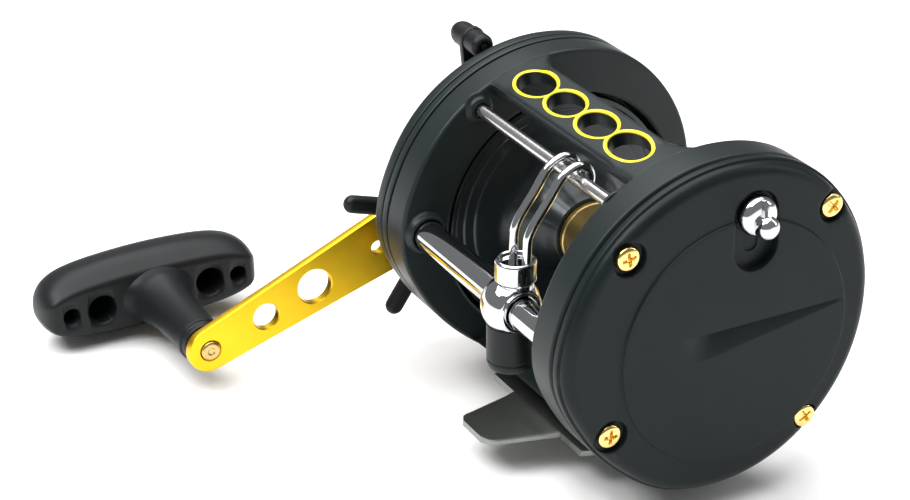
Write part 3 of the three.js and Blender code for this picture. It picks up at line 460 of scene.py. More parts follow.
def rounded(corners: Sequence[tuple[float, float, float]], steps: int = 5) -> list[Pair]:
    """Round the corners of a profile.

    Args:
        corners: first value, second value and how far the rounding reaches back from the corner.
        steps: points on each rounding.

    Returns:
        The profile with its corners rounded.
    """
    out: list[Pair] = []
    last = len(corners) - 1
    for i, (a, b, reach) in enumerate(corners):
        if reach <= 0 or i in (0, last):
            out.append((a, b))
            continue
        (pa, pb, _), (na, nb, _) = corners[i - 1], corners[i + 1]
        back, ahead = math.hypot(pa - a, pb - b), math.hypot(na - a, nb - b)
        r0, r1 = min(reach, back * 0.49), min(reach, ahead * 0.49)
        start = (a + (pa - a) * r0 / back, b + (pb - b) * r0 / back)
        end = (a + (na - a) * r1 / ahead, b + (nb - b) * r1 / ahead)
        for k in range(steps + 1):
            t = k / steps
            u = 1 - t
            out.append((u * u * start[0] + 2 * u * t * a + t * t * end[0],
                        u * u * start[1] + 2 * u * t * b + t * t * end[1]))
    return out


def spline(points: Sequence[Point], count: int) -> list[Point]:
    """Draw a smooth centripetal curve through points.

    Args:
        points: points that the curve passes.
        count: steps along each stretch.

    Returns:
        Points along the curve.
    """
    knots = [Vector(p) for p in points]
    knots = [knots[0] * 2 - knots[1], *knots, knots[-1] * 2 - knots[-2]]
    out: list[Point] = []
    for p0, p1, p2, p3 in zip(knots, knots[1:], knots[2:], knots[3:]):
        t1 = (p1 - p0).length ** 0.5
        t2 = t1 + (p2 - p1).length ** 0.5
        t3 = t2 + (p3 - p2).length ** 0.5
        for k in range(count):
            t = t1 + (t2 - t1) * k / count
            a1 = p0 * ((t1 - t) / t1) + p1 * (t / t1)
            a2 = p1 * ((t2 - t) / (t2 - t1)) + p2 * ((t - t1) / (t2 - t1))
            a3 = p2 * ((t3 - t) / (t3 - t2)) + p3 * ((t - t2) / (t3 - t2))
            b1 = a1 * ((t2 - t) / t2) + a2 * (t / t2)
            b2 = a2 * ((t3 - t) / (t3 - t1)) + a3 * ((t - t1) / (t3 - t1))
            out.append(tuple(b1 * ((t2 - t) / (t2 - t1)) + b2 * ((t - t1) / (t2 - t1))))
    out.append(tuple(knots[-2]))
    return out


# ---- outline and relief of the side plates ----------------------------------------------------------
@dataclass(frozen=True)
class Outline:
    """The side plates' egg-shaped outline about the spool's axis."""

    radii: tuple[float, ...] = (34.1, 35.6, 37.4, 39.2, 39.6, 39.9, 40.4, 40.6, 40.9, 37.9, 36, 35.7,
                                34.8, 34, 33.4, 33.4)
    count: int = 180

    def radius(self, degrees: float) -> float:
        """Give the outline's radius, curved smoothly through the listed radii.

        Args:
            degrees: angle from the rear (+Y) towards the top (+Z).

        Returns:
            The radius.
        """
        n = len(self.radii)
        place = (degrees % 360) / (360 / n)
        i, t = int(place) % n, place - int(place)
        a, b, c, d = (self.radii[(i + k) % n] for k in (-1, 0, 1, 2))
        return b + 0.5 * t * (c - a + t * (2 * a - 5 * b + 4 * c - d + t * (3 * (b - c) + d - a)))

    def loop(self, inset: float = 0.0) -> list[Pair]:
        """Give the outline pulled inwards by inset."""
        return [polar(self.radius(a) - inset, a) for a in
                (360 * i / self.count for i in range(self.count))]

    def ring(self, x: float, inset: float = 0.0) -> list[Point]:
        """Give the outline as a ring at x."""
        return [(x, y, z) for y, z in self.loop(inset)]

    def depth(self, y: float, z: float) -> float:
        """Give how far a point lies inside the outline."""
        return self.radius(math.degrees(math.atan2(z, y))) - math.hypot(y, z)


OUTLINE = Outline()
LEVER_PIVOT: Pair = (-8.2, 17.5)


@dataclass(frozen=True)
class Feature:
    """A raised or sunk area of a plate: its signed distance, its floor and its edge roundings."""

    distance: Callable[[float, float], float]
    loop: Callable[[float], list[Pair]]
    level: float
    wall: float = 0.06
    lip: float = 0.3
    cut: bool = False

    def offsets(self) -> list[float]:
        """Distances from the edge at which the mesh needs a loop."""
        return [-self.wall - self.lip * 0.6, -self.wall, 0.0, self.lip * 0.35, self.lip]

    def height(self, y: float, z: float, ground: float) -> float:
        """Blend the ground height into the feature's own level.

        Args:
            y: place across.
            z: place up.
            ground: height of the ground there.

        Returns:
            The height.
        """
        d = self.distance(y, z)
        target = self.level
        if self.cut and ground <= target:
            return ground
        if d >= self.lip:
            return ground
        if d <= -self.wall - self.lip * 0.6:
            return target
        drop = target - ground
        soft = min(0.4, self.lip / max(abs(drop), 1e-6)) * 0.8
        if d > self.lip * 0.35:
            share = soft * 0.22 * (self.lip - d) / (self.lip * 0.65)
        elif d > 0:
            share = soft * (0.22 + 0.78 * (self.lip * 0.35 - d) / (self.lip * 0.35))
        elif d > -self.wall:
            share = soft + (1 - 1.4 * soft) * -d / self.wall
        else:
            share = 1 - 0.4 * soft * (1 - (-self.wall - d) / (self.lip * 0.6))
        return ground + drop * share


def round_feature(centre: Pair, radius: float, level: float, lip: float = 0.3, wall: float = 0.06,
                  count: int = 56, cut: bool = False) -> Feature:
    """Describe a round raised or sunk area.

    Args:
        centre: its middle.
        radius: its edge.
        level: height of its floor.
        lip: how far its edge rounding reaches.
        wall: how far its wall leans.
        count: points round it.
        cut: whether it only ever lowers the ground.

    Returns:
        The feature.
    """
    return Feature(lambda y, z: math.hypot(y - centre[0], z - centre[1]) - radius,
                   lambda off: circle(radius + off, count, centre), level, wall, lip, cut)


def slot_feature(centre: Pair, width: float, length: float, level: float, lip: float = 0.3) -> Feature:
    """Describe an upright slot with round ends.

    Args:
        centre: its middle.
        width: its width.
        length: its length over the round ends.
        level: height of its floor.
        lip: how far its edge rounding reaches.

    Returns:
        The feature.
    """
    half, reach = width / 2, length / 2 - width / 2

    def distance(y: float, z: float) -> float:
        """Signed distance to the slot's edge."""
        along = max(-reach, min(reach, z - centre[1]))
        return math.hypot(y - centre[0], z - centre[1] - along) - half

    def loop(off: float) -> list[Pair]:
        """Edge of the slot, moved outwards by off."""
        arcs = [(end, polar(half + off, start + 180 * i / 24))
                for start, end in ((0, reach), (180, -reach)) for i in range(25)]
        return [(centre[0] + a, centre[1] + end + b) for end, (a, b) in arcs]

    return Feature(distance, loop, level, lip=lip)


@dataclass
class Relief:
    """A plate face with raised and sunk features, meshed so that each edge has its own loops."""

    border: list[Pair]
    ground: Callable[[float, float], float]
    features: list[Feature]
    pitch: float = 2.6
    insets: tuple[float, ...] = ()
    creases: tuple[tuple[Pair, ...], ...] = ()

    def height(self, y: float, z: float) -> float:
        """Give the surface height at a point, with every feature worked in."""
        level = self.ground(y, z)
        for feature in self.features:
            level = feature.height(y, z, level)
        return level

    def draw(self, draft: Draft, facing: int) -> None:
        """Add the face to a draft.

        Args:
            draft: mesh to add to.
            facing: 1 where the face looks along +X, -1 where it looks along -X.
        """
        points: list[Vector] = []
        edges: list[tuple[int, int]] = []
        inside = OUTLINE.depth
        margin = min(inside(*p) for p in self.border) - 1e-4

        def line(path: Sequence[Pair], closed: bool = True, guarded: bool = False) -> None:
            """Keep a path as mesh edges; a guarded one only where it lies inside the border."""
            base, count = len(points), len(path)
            keep = [not guarded or inside(*p) > margin for p in path]
            points.extend(Vector(p) for p in path)
            edges.extend((base + i, base + (i + 1) % count) for i in range(count if closed else count - 1)
                         if keep[i] and keep[(i + 1) % count])

        line(self.border)
        for inset in self.insets:
            line(OUTLINE.loop(inset))
        for crease in self.creases:
            line(crease, closed=False)
        for feature in self.features:
            for off in feature.offsets():
                line(feature.loop(off), guarded=True)
        reach = max(max(abs(p[0]), abs(p[1])) for p in self.border)
        steps = int(reach / self.pitch) + 1
        clear = max([margin + 0.8, *(inset + 0.8 for inset in self.insets)])
        for i in range(-steps, steps + 1):
            for k in range(-steps, steps + 1):
                at = ((i + 0.5 * (k % 2)) * self.pitch, k * self.pitch * 0.87)
                if inside(*at) > clear and all(abs(f.distance(*at)) > 0.9 for f in self.features):
                    points.append(Vector(at))
        found = delaunay_2d_cdt(points, edges, [], 1, 1e-5)
        numbers = draft.ring([(facing * self.height(p.x, p.y), p.x, p.y) for p in found[0]])
        for corners in found[2]:
            draft.face(tuple(numbers[c] for c in corners))


def rim_insets(rim: float, shoulder: float = 0.0) -> tuple[float, ...]:
    """Insets at which a rolled rim needs its loops."""
    return tuple(shoulder + rim * (1 - math.cos(math.radians(a))) for a in
                 (14, 22, 30, 39, 48, 57, 66, 75, 83, 90))


def rolled(y: float, z: float, side: float, face: float, rim: float, shoulder: float = 0.0) -> float:
    """Height of a plate that is faintly crowned and rolls over at its rim.

    Args:
        y: place across.
        z: place up.
        side: height where the straight side ends.
        face: height of the face.
        rim: reach of the rounding.
        shoulder: inset at which the rounding starts.

    Returns:
        The height.
    """
    depth = min(1.0, max(0.0, (OUTLINE.depth(y, z) - shoulder) / rim))
    top = face + 0.12 * (1 - (y * y + z * z) / 1600)
    return side + (top - side) * math.sqrt(max(0.0, 1 - (1 - depth) ** 2))


def hollowed(draft: Draft, rings: Sequence[Sequence[Point]], radius: float, floor: float) -> None:
    """Add a plate's side, and the round hollow in its back.

    Args:
        draft: mesh to add to.
        rings: rings of the side, from the back to the face.
        radius: radius of the hollow.
        floor: x of the hollow's floor.
    """
    numbered = [draft.ring(ring) for ring in rings]
    for a, b in zip(numbered, numbered[1:]):
        draft.skin(a, b)
    mouth, bottom = (draft.ring([(x, *p) for p in circle(radius, OUTLINE.count)])
                     for x in (rings[0][0][0], floor))
    draft.skin(numbered[0], mouth)
    draft.skin(mouth, bottom)
    draft.cap(bottom)


# ---- side plates ----------------------------------------------------------------------------------
@dataclass(frozen=True)
class StepField:
    """A wedge sunk in the disc: deepest under its crisp top edge, rising to its lower edge."""

    level: float
    reach: Pair
    slope: float

    def top(self, y: float) -> float:
        """Height of the step's crisp upper edge at y."""
        return 3.55 + 0.018 * y

    def foot(self, y: float) -> float:
        """Height of the step's lower edge at y."""
        return min(self.top(y) - 0.05, -1.05 + 0.168 * y)

    def offsets(self) -> list[float]:
        """No loops of its own; its creases are drawn apart."""
        return []

    def distance(self, y: float, z: float) -> float:
        """Far from every edge, as far as the grid is concerned."""
        return 99.0

    def creases(self) -> tuple[tuple[Pair, ...], ...]:
        """Lines along which the surface bends."""
        made = []
        for share in (-0.03, 0.01, 0.35, 0.7, 0.96, 1.05):
            line = []
            for i in range(31):
                y = self.reach[0] + (self.reach[1] - self.reach[0]) * i / 30
                high, low = self.top(y), self.foot(y)
                line.append((y, high - (high - low) * share))
            made.append(tuple(line))
        return tuple(made)

    def height(self, y: float, z: float, ground: float) -> float:
        """Lower the ground under the step.

        Args:
            y: place across.
            z: place up.
            ground: height of the ground there.

        Returns:
            The height.
        """
        high, low = self.top(y), self.foot(y)
        if z >= high or ground < self.level - 0.02:
            return ground
        drop = self.slope * max(0.0, z - low)
        fade = smoothstep((y - self.reach[0]) / 9.0) * smoothstep((self.reach[1] - y) / 1.2)
        return ground - drop * fade


@dataclass
class TailPlate:
    """Clicker-side plate with its screws and the clicker button."""

    start: float = 37.3
    side: float = 39.4
    face: float = 41.6
    rim: float = 2.7
    shoulder: float = 0.6
    disc: float = 42.2
    disc_radius: float = 27.3
    wall: float = 2.2
    hollow: float = 27.0
    screws: tuple[Pair, ...] = ((-26, 24.4), (22.8, 25.4), (-29, -15), (19.5, -23.1))
    seat_radii: tuple[float, ...] = (3.75, 3.5, 3.75, 2.95)
    seat_floor: float = 39.8
    slot: tuple[float, float, float, float] = (3.6, 24.3, 10.4, 17.4)
    slot_floor: float = 39.95
    step: tuple[float, float] = (-13.5, 26.3)
    step_slope: float = 0.3

    def features(self) -> list[Feature | StepField]:
        """List the plate's raised disc, step, slot and screw seats."""
        y, z, width, length = self.slot
        made = [
            round_feature((0, 0), self.disc_radius, self.disc, lip=0.45, wall=0.12, count=144),
            StepField(self.disc, self.step, self.step_slope),
            slot_feature((y, z), width, length, self.slot_floor, lip=0.5),
            slot_feature((y, z), 3.2, 10.4, 39.6, lip=0.15),
        ]
        made.extend(round_feature(at, radius, self.seat_floor, lip=0.4, cut=True)
                    for at, radius in zip(self.screws, self.seat_radii))
        return made

    def ground(self, y: float, z: float) -> float:
        """Height of the plain plate: a faint crown that rolls over at the rim."""
        return rolled(y, z, self.side, self.face, self.rim, self.shoulder)

    def plate(self) -> None:
        """Build the plate."""
        draft = Draft()
        wedge = StepField(self.disc, self.step, self.step_slope)
        relief = Relief(OUTLINE.loop(self.shoulder), self.ground, self.features(),
                        insets=rim_insets(self.rim, self.shoulder), creases=wedge.creases())
        rings = [OUTLINE.ring(self.start, 1.05), OUTLINE.ring(self.start + 0.12, 0.7),
                 OUTLINE.ring(self.start + 0.3, 0.28), OUTLINE.ring(self.start + 0.55, 0.03),
                 OUTLINE.ring(self.start + 0.7, 0.0), OUTLINE.ring(self.side - 0.35, 0.0),
                 OUTLINE.ring(self.side - 0.15, 0.12), OUTLINE.ring(self.side - 0.02, 0.62),
                 [(relief.height(y, z), y, z) for y, z in OUTLINE.loop(self.shoulder)]]
        hollowed(draft, rings, self.hollow, self.start + self.wall)
        relief.draw(draft, 1)
        draft.build("clicker_plate", "frame_body", [SATIN_GRAPHITE], "graphite", ["tail_plate"], smooth=34)

    def build(self) -> None:
        """Build the plate, its screws and the clicker."""
        self.plate()
        for i, at in enumerate(self.screws):
            Screw(at, self.seat_floor, 1, GOLD_PLATE, 11 + i * 37).build(
                f"plate_screw_{i + 1}", f"tail_screw_{i + 1}", "gold_screw")
        Clicker().build()


@dataclass
class Screw:
    """Pan-head screw with a cross recess, standing on the floor of its seat."""

    at: Pair
    floor: float
    out: int
    finish: Finish
    turn: float
    radius: float = 2.62
    height: float = 1.75
    recess: float = 1.1
    arm: float = 1.55
    web: float = 0.36

    def dome(self, y: float, z: float) -> float:
        """Height of the plain head."""
        share = min(1.0, math.hypot(y, z) / self.radius)
        return self.height * (0.62 + 0.38 * math.sqrt(max(0.0, 1 - share ** 2.6)))

    def cross(self, y: float, z: float) -> float:
        """Give the signed distance to the cross recess.

        Args:
            y: place across, from the screw's middle.
            z: place up, from the screw's middle.

        Returns:
            The distance, negative inside the recess.
        """
        c, s = polar(1.0, self.turn)
        u, v = abs(y * c + z * s), abs(z * c - y * s)
        web = self.web + 0.3 * math.exp(-((u + v) / 0.55) ** 2)
        return min(max(u - self.arm, v - web), max(v - self.arm, u - web))

    def lift(self, y: float, z: float) -> float:
        """Give the head's height with the recess cut in."""
        return self.dome(y, z) - self.recess * smoothstep((0.08 - self.cross(y, z)) / 0.3)

    def build(self, name: str, node: str, slot: str) -> None:
        """Build the screw and stand it in for its node.

        Args:
            name: name of the piece.
            node: CAD node that it stands for.
            slot: material slot of the record.
        """
        draft = Draft()
        sides, turns = 96, 26
        edge = ((-3.0, 1.15), (0.02, 1.15), (0.02, self.radius - 0.25), (0.12, self.radius - 0.06),
                (0.3, self.radius))
        loops = [[(h, *p) for p in circle(r, sides)] for h, r in edge]
        for k in range(turns):
            loops.append([(self.lift(*p), *p) for p in circle(self.radius * (1 - k / turns) ** 0.9, sides)])
        loops.append([(self.lift(0.0, 0.0), 0.0, 0.0)])
        draft.loft([[(self.floor + self.out * h, self.at[0] + a, self.at[1] + b) for h, a, b in loop]
                    for loop in loops])
        draft.build(name, "frame_body", [self.finish], slot, [node], smooth=50, merge=0.0005)


@dataclass
class Clicker:
    """Chrome clicker button: a dome with a nib, on its stem and pin."""

    face: float = 41.6
    lift: float = 27.8
    across: float = 3.6

    def build(self) -> None:
        """Build the button."""
        f, at = self.face, (self.across, self.lift)
        draft = Draft()
        draft.turned(rounded([(32.35, 0, 0), (32.35, 0.88, 0.1), (34.5, 0.88, 0), (34.5, 1.28, 0.1),
                              (f - 1.3, 1.28, 0), (f - 1.3, 4.45, 0.25), (f + 1.0, 4.45, 0.9),
                              (f + 2.3, 3.4, 1.2), (f + 2.75, 0, 0)]), at, 72)
        nib = (self.across + 0.5, self.lift - 1.6)
        draft.turned(rounded([(f + 1.0, 0, 0), (f + 1.0, 2.55, 0.1), (f + 3.2, 2.5, 0.6),
                              (f + 4.4, 2.45, 0.9), (f + 5.35, 1.2, 0.9), (f + 5.4, 0, 0)]), nib, 56)
        web = [(f + 1.6, -0.75), (f + 1.6, 0.75), (f + 3.6, 0.55), (f + 3.9, 0.0), (f + 3.6, -0.55)]
        ends = []
        for along, drop in ((0.2, 0.0), (2.2, 0.5), (3.7, 1.6)):
            ends.append([(x - drop, self.across + a + 0.1 * along, self.lift + along) for x, a in web])
        draft.loft(ends)
        draft.build("clicker_knob", "clicker_body", [CHROME], "chrome", ["clicker_button"], smooth=42)


@dataclass
class GearCover:
    """Gear cover on the handle side: rounded shell, raised housing, drive boss and screw seats."""

    start: float = -39.2
    side: float = -41.3
    face: float = -44.2
    rim: float = 4.2
    house: float = -47.6
    house_centre: Pair = (-5.0, -1.0)
    house_radius: float = 25.6
    boss_radius: float = 8.6
    lever_radius: float = 6.0
    screws: tuple[Pair, ...] = ((-26, 24.4), (22.8, 25.4), (-29.9, -15.6), (19.9, -23.6))
    hollow: float = 27.0

    def ground(self, y: float, z: float) -> float:
        """Height of the plain shell."""
        return rolled(y, z, -self.side, -self.face, self.rim)

    def build(self) -> None:
        """Build the cover and its screws."""
        drive = local_axis("drive_shaft")
        features = [
            round_feature(self.house_centre, self.house_radius, -self.house, lip=1.3, wall=1.0, count=120),
            round_feature(LEVER_PIVOT, self.lever_radius, -self.house + 0.15, lip=0.25, wall=0.2, count=72),
            round_feature(LEVER_PIVOT, 2.35, -self.house - 2.0, lip=0.1, wall=0.05, count=48),
            round_feature(drive, self.boss_radius, -self.house + 0.45, lip=0.35, wall=0.3, count=96),
            round_feature(drive, 4.3, -self.house - 2.2, lip=0.2, wall=0.05, count=64),
        ]
        features += [round_feature(at, 3.2, -self.face - 1.8, lip=0.4, cut=True) for at in self.screws]
        relief = Relief(OUTLINE.loop(0.0), self.ground, features, insets=rim_insets(self.rim))
        draft = Draft()
        rings = [OUTLINE.ring(self.start, 0.45), OUTLINE.ring(self.start - 0.12, 0.12),
                 OUTLINE.ring(self.start - 0.45, 0.0),
                 [(-relief.height(y, z), y, z) for y, z in OUTLINE.loop(0.0)]]
        hollowed(draft, rings, self.hollow, self.face + 1.7)
        relief.draw(draft, -1)
        draft.build("handle_side_cover", "frame_body", [GRAPHITE], "graphite", ["gear_cover"], smooth=34)
        for i, at in enumerate(self.screws):
            Screw(at, self.face + 1.8, -1, GOLD_PLATE, 24 + i * 31).build(
                f"cover_head_{i + 1}", f"cover_screw_{i + 1}", "steel")


@dataclass
class MechanismPlate:
    """Thin plate between the gear cover and the frame ring; only its rim shows."""

    start: float = -36.7
    end: float = -38.9

    def build(self) -> None:
        """Build the plate's rim as a ring round the CAD plate's works."""
        draft = Draft()
        rings = [OUTLINE.ring(self.start, 0.4), OUTLINE.ring(self.start - 0.12, 0.12),
                 OUTLINE.ring(self.start - 0.4, 0.0), OUTLINE.ring(self.end + 0.4, 0.0),
                 OUTLINE.ring(self.end + 0.12, 0.12), OUTLINE.ring(self.end, 0.4)]
        draft.loft(rings)
        hub = rounded([(self.start + 0.1, 0, 0), (self.start + 2.2, 0, 0), (self.start + 2.2, 7.2, 0.4),
                       (self.start + 0.1, 7.2, 0)])
        draft.turned(hub, (0, 0), 64)
        draft.build("mechanism_back_plate", "frame_body", [GRAPHITE], "black_plastic", ["mechanism_plate"])


# ---- frame -----------------------------------------------------------------------------------------
@dataclass
class Frame:
    """One-piece frame: two rings, top bridge with four ringed holes, floor, and the rods' bosses."""

    inner: float = 28.8
    outer_tail: float = 36.9
    outer_gear: float = 36.4
    bore: float = 29.0
    bridge_angle: float = 109.0
    bridge_face: float = 39.9
    bridge_half: float = 6.2
    bridge_thick: float = 3.6
    flare: float = 6.5
    hole_x: tuple[float, ...] = (-19.1, -6.4, 6.4, 19.1)
    hole_long: tuple[float, ...] = (6.2, 5.8, 5.8, 6.2)
    hole_wide: tuple[float, ...] = (3.8, 3.55, 3.55, 3.8)
    paint: float = 0.85

    def holes(self) -> list[tuple[float, float, float]]:
        """Place, half length and half width of each bridge hole."""
        return list(zip(self.hole_x, self.hole_long, self.hole_wide))

    @staticmethod
    def oval(x: float, long: float, wide: float, grow: float) -> list[Pair]:
        """Edge of an oval hole, grown outwards."""
        return [(x + (long + grow) * a, (wide + grow) * b) for a, b in circle(1.0, 64)]

    def gap(self, x: float, across: float) -> float:
        """Distance from a bridge point to the nearest hole's edge."""
        return min((math.hypot((x - at) / long, across / wide) - 1) * wide * 1.12
                   for at, long, wide in self.holes())

    def near(self, x: float, across: float, grow: float) -> bool:
        """Tell whether a bridge point lies inside a hole grown outwards."""
        return any(math.hypot((x - at) / (long + grow), across / (wide + grow)) < 1
                   for at, long, wide in self.holes())

    def side_ring(self, inner: float, outer: float) -> Draft:
        """Draw one ring: rounded outer edges, chamfered bore and a small step at the parting line.

        Args:
            inner: x of the face towards the spool.
            outer: x of the face towards the side plate.

        Returns:
            The ring's draft.
        """
        draft = Draft()
        s = 1 if inner > 0 else -1
        outside = [(inner, 0.9), (inner + s * 0.12, 0.42), (inner + s * 0.4, 0.12), (inner + s * 0.85, 0.0),
                   (outer - s * 0.75, 0.0), (outer - s * 0.5, 0.08), (outer - s * 0.28, 0.35),
                   (outer - s * 0.12, 0.8), (outer, 1.05)]
        rings = [OUTLINE.ring(x, inset) for x, inset in outside]
        bore = [(outer, self.bore + 0.3), (outer - s * 0.3, self.bore), (inner + s * 0.9, self.bore),
                (inner + s * 0.35, self.bore + 0.16), (inner + s * 0.1, self.bore + 0.5),
                (inner, self.bore + 1.0)]
        rings += [[(x, *p) for p in circle(r, OUTLINE.count)] for x, r in bore]
        draft.loft(rings, wrap=True)
        return draft

    def half_width(self, x: float) -> float:
        """Give the half width of the bridge's rear side: straight, then flaring into the rings.

        Args:
            x: place along the bridge.

        Returns:
            The half width.
        """
        reach = abs(x) - 20.5
        if reach <= 0:
            return self.bridge_half
        share = min(1.0, reach / (self.inner + 1.2 - 20.5))
        return self.bridge_half + self.flare * (1 - math.sqrt(max(0.0, 1 - share * share)))

    def front_half(self, x: float) -> float:
        """Half width of the bridge's front side at x: straight, with small corners at the rings."""
        share = min(1.0, max(0.0, (abs(x) - self.inner + 1.6) / 2.8))
        return self.bridge_half + 2.0 * (1 - math.sqrt(1 - share * share))

    def bridge(self) -> Draft:
        """Draw the bridge: a flat top with four painted holes and soft edges."""
        end = self.inner + 1.2
        stations = [end * math.sin(math.radians(90 * i / 60)) for i in range(-60, 61)]
        top_inset = ((0.0, 1.1), (0.1, 0.62), (0.3, 0.3), (0.62, 0.09), (1.1, 0.0))

        def edge(inset: float) -> list[Pair]:
            """Bridge outline in x and across, pulled in by inset."""
            front = [(x, -self.front_half(x) + inset) for x in stations]
            rear = [(x, self.half_width(x) - inset) for x in reversed(stations)]
            return front + rear

        cos, sin = polar(1.0, self.bridge_angle - 90)

        def place(x: float, across: float, drop: float) -> Point:
            """Turn bridge coordinates into a point, kept inside the rings' outline."""
            height = self.bridge_face - drop
            y, z = across * cos - height * sin, across * sin + height * cos
            limit = OUTLINE.radius(math.degrees(math.atan2(z, y))) - 0.05
            size = math.hypot(y, z)
            share = smoothstep((abs(x) - 20.0) / 4.0)
            if size > limit and share > 0 and drop < 3:
                pull = 1 + share * ((limit - drop * 0.6) / size - 1)
                y, z = y * pull, z * pull
            return (x, y, z)

        def depth(x: float, across: float) -> float:
            """Distance inside the bridge outline."""
            side = self.half_width(x) if across > 0 else self.front_half(x)
            return min(side - abs(across), end - abs(x) + 2.0)

        draft = Draft()
        numbered = [draft.ring([place(x, t, drop) for x, t in edge(inset)])
                    for inset, drop in top_inset[::-1]]
        for a, b in zip(numbered, numbered[1:]):
            draft.skin(a, b)
        low = [draft.ring([place(x, t, self.bridge_thick - lift) for x, t in edge(inset)])
               for inset, lift in ((0.0, 0.7), (0.2, 0.2), (0.7, 0.0))]
        draft.skin(numbered[-1], low[0])
        for a, b in zip(low, low[1:]):
            draft.skin(a, b)
        self.pierced(draft, edge(1.1), place, depth, 0.0, True)
        self.pierced(draft, edge(0.7), place, depth, self.bridge_thick, False)
        for x, long, wide in self.holes():
            profile = [(0.28, 0.0), (0.1, 0.06), (0.0, 0.3), (-0.02, self.bridge_thick - 0.3),
                       (0.3, self.bridge_thick)]
            rings = [draft.ring([place(a, b, drop) for a, b in self.oval(x, long, wide, grow)])
                     for grow, drop in profile]
            for k, (a, b) in enumerate(zip(rings, rings[1:])):
                draft.skin(a, b, 1 if k < 2 else 0)
        return draft

    def pierced(self, draft: Draft, border: Sequence[Pair], place: Callable[[float, float, float], Point],
                depth: Callable[[float, float], float], drop: float, painted: bool) -> None:
        """Fill the bridge's face or underside between its border and its holes.

        Args:
            draft: mesh to add to.
            border: outline of the face.
            place: turns bridge coordinates into a point.
            depth: distance inside the bridge outline.
            drop: how far below the top the face lies.
            painted: whether the holes carry their painted rings.
        """
        points = [Vector(p) for p in border]
        edges = [(i, (i + 1) % len(points)) for i in range(len(points))]
        margin = 0.28 if painted else 0.3
        for x, long, wide in self.holes():
            for grow in ((margin, self.paint) if painted else (margin,)):
                base = len(points)
                points.extend(Vector(p) for p in self.oval(x, long, wide, grow))
                edges.extend((base + i, base + (i + 1) % 64) for i in range(64))
        for i in range(-22, 23):
            for k in range(-9, 10):
                at = (i * 1.35 + 0.6 * (k % 2), k * 1.35)
                if self.gap(*at) > self.paint + 0.5 and depth(*at) > 1.9:
                    points.append(Vector(at))
        found = delaunay_2d_cdt(points, edges, [], 1, 1e-5)
        numbers = draft.ring([place(p.x, p.y, drop) for p in found[0]])
        for corners in found[2]:
            x = sum(found[0][c].x for c in corners) / len(corners)
            y = sum(found[0][c].y for c in corners) / len(corners)
            if not self.near(x, y, margin):
                draft.face(tuple(numbers[c] for c in corners), int(painted and self.near(x, y, self.paint)))

    def floor(self) -> Draft:
        """Draw the floor that carries the foot, with rounded long edges."""
        draft = Draft()
        end = self.inner + 1.2
        rings = []
        for i in range(-40, 41):
            x = end * math.sin(math.radians(90 * i / 40))
            reach = max(0.0, abs(x) - 21.5) / (end - 21.5)
            front = -21.4 - 4.4 * (1 - math.sqrt(max(0.0, 1 - reach * reach)))
            rear = 16.4 + 3.0 * (1 - math.sqrt(max(0.0, 1 - reach * reach)))
            section = rounded([(front + 3, -27.6, 0), (front, -27.6, 1.1), (front, -31.2, 1.1),
                               (rear, -31.2, 1.1), (rear, -27.6, 1.1), (rear - 3, -27.6, 0)], 4)
            rings.append([(x, y, self.inside(y, z)) for y, z in section])
        draft.loft(rings)
        return draft

    @staticmethod
    def inside(y: float, z: float) -> float:
        """Keep a floor point's height inside the rings' outline."""
        limit = OUTLINE.radius(math.degrees(math.atan2(z, y))) - 0.4
        size = math.hypot(y, z)
        return z if size <= limit else -math.sqrt(max(1.0, limit * limit - y * y))

    def bosses(self) -> Draft:
        """Draw the bosses that the top rod and the level-wind tube enter."""
        draft = Draft()
        rod, tube = local_axis("top_rod"), local_axis("level_wind_tube")
        for s in (-1, 1):
            base = s * (self.inner + 0.9)
            draft.turned(rounded([(base, 1.75, 0), (s * (self.inner - 1.1), 1.75, 0.15),
                                  (s * (self.inner - 1.1), 2.7, 0.5), (s * (self.inner - 0.2), 3.0, 0.4),
                                  (s * (self.inner + 0.2), 3.8, 0), (base, 3.8, 0)]), rod, 48, wrap=True)
            draft.turned(rounded([(base, 3.75, 0), (s * (self.inner - 1.6), 3.75, 0.15),
                                  (s * (self.inner - 1.6), 4.35, 0.4), (s * (self.inner - 0.5), 4.7, 0.6),
                                  (s * (self.inner + 0.2), 5.2, 0), (base, 5.0, 0)]), tube, 56, wrap=True)
        return draft

    def build(self) -> None:
        """Join the frame's shapes into one piece."""
        whole = Draft()
        for part in (self.side_ring(self.inner, self.outer_tail),
                     self.side_ring(-self.inner, -self.outer_gear),
                     self.bridge(), self.floor(), self.bosses()):
            base = len(whole.verts)
            whole.verts.extend(part.verts)
            whole.faces.extend(tuple(base + c for c in corners) for corners in part.faces)
            whole.tints.extend(part.tints)
        whole.build("reel_frame", "frame_body", [GRAPHITE, YELLOW], "graphite", ["frame"], smooth=36)


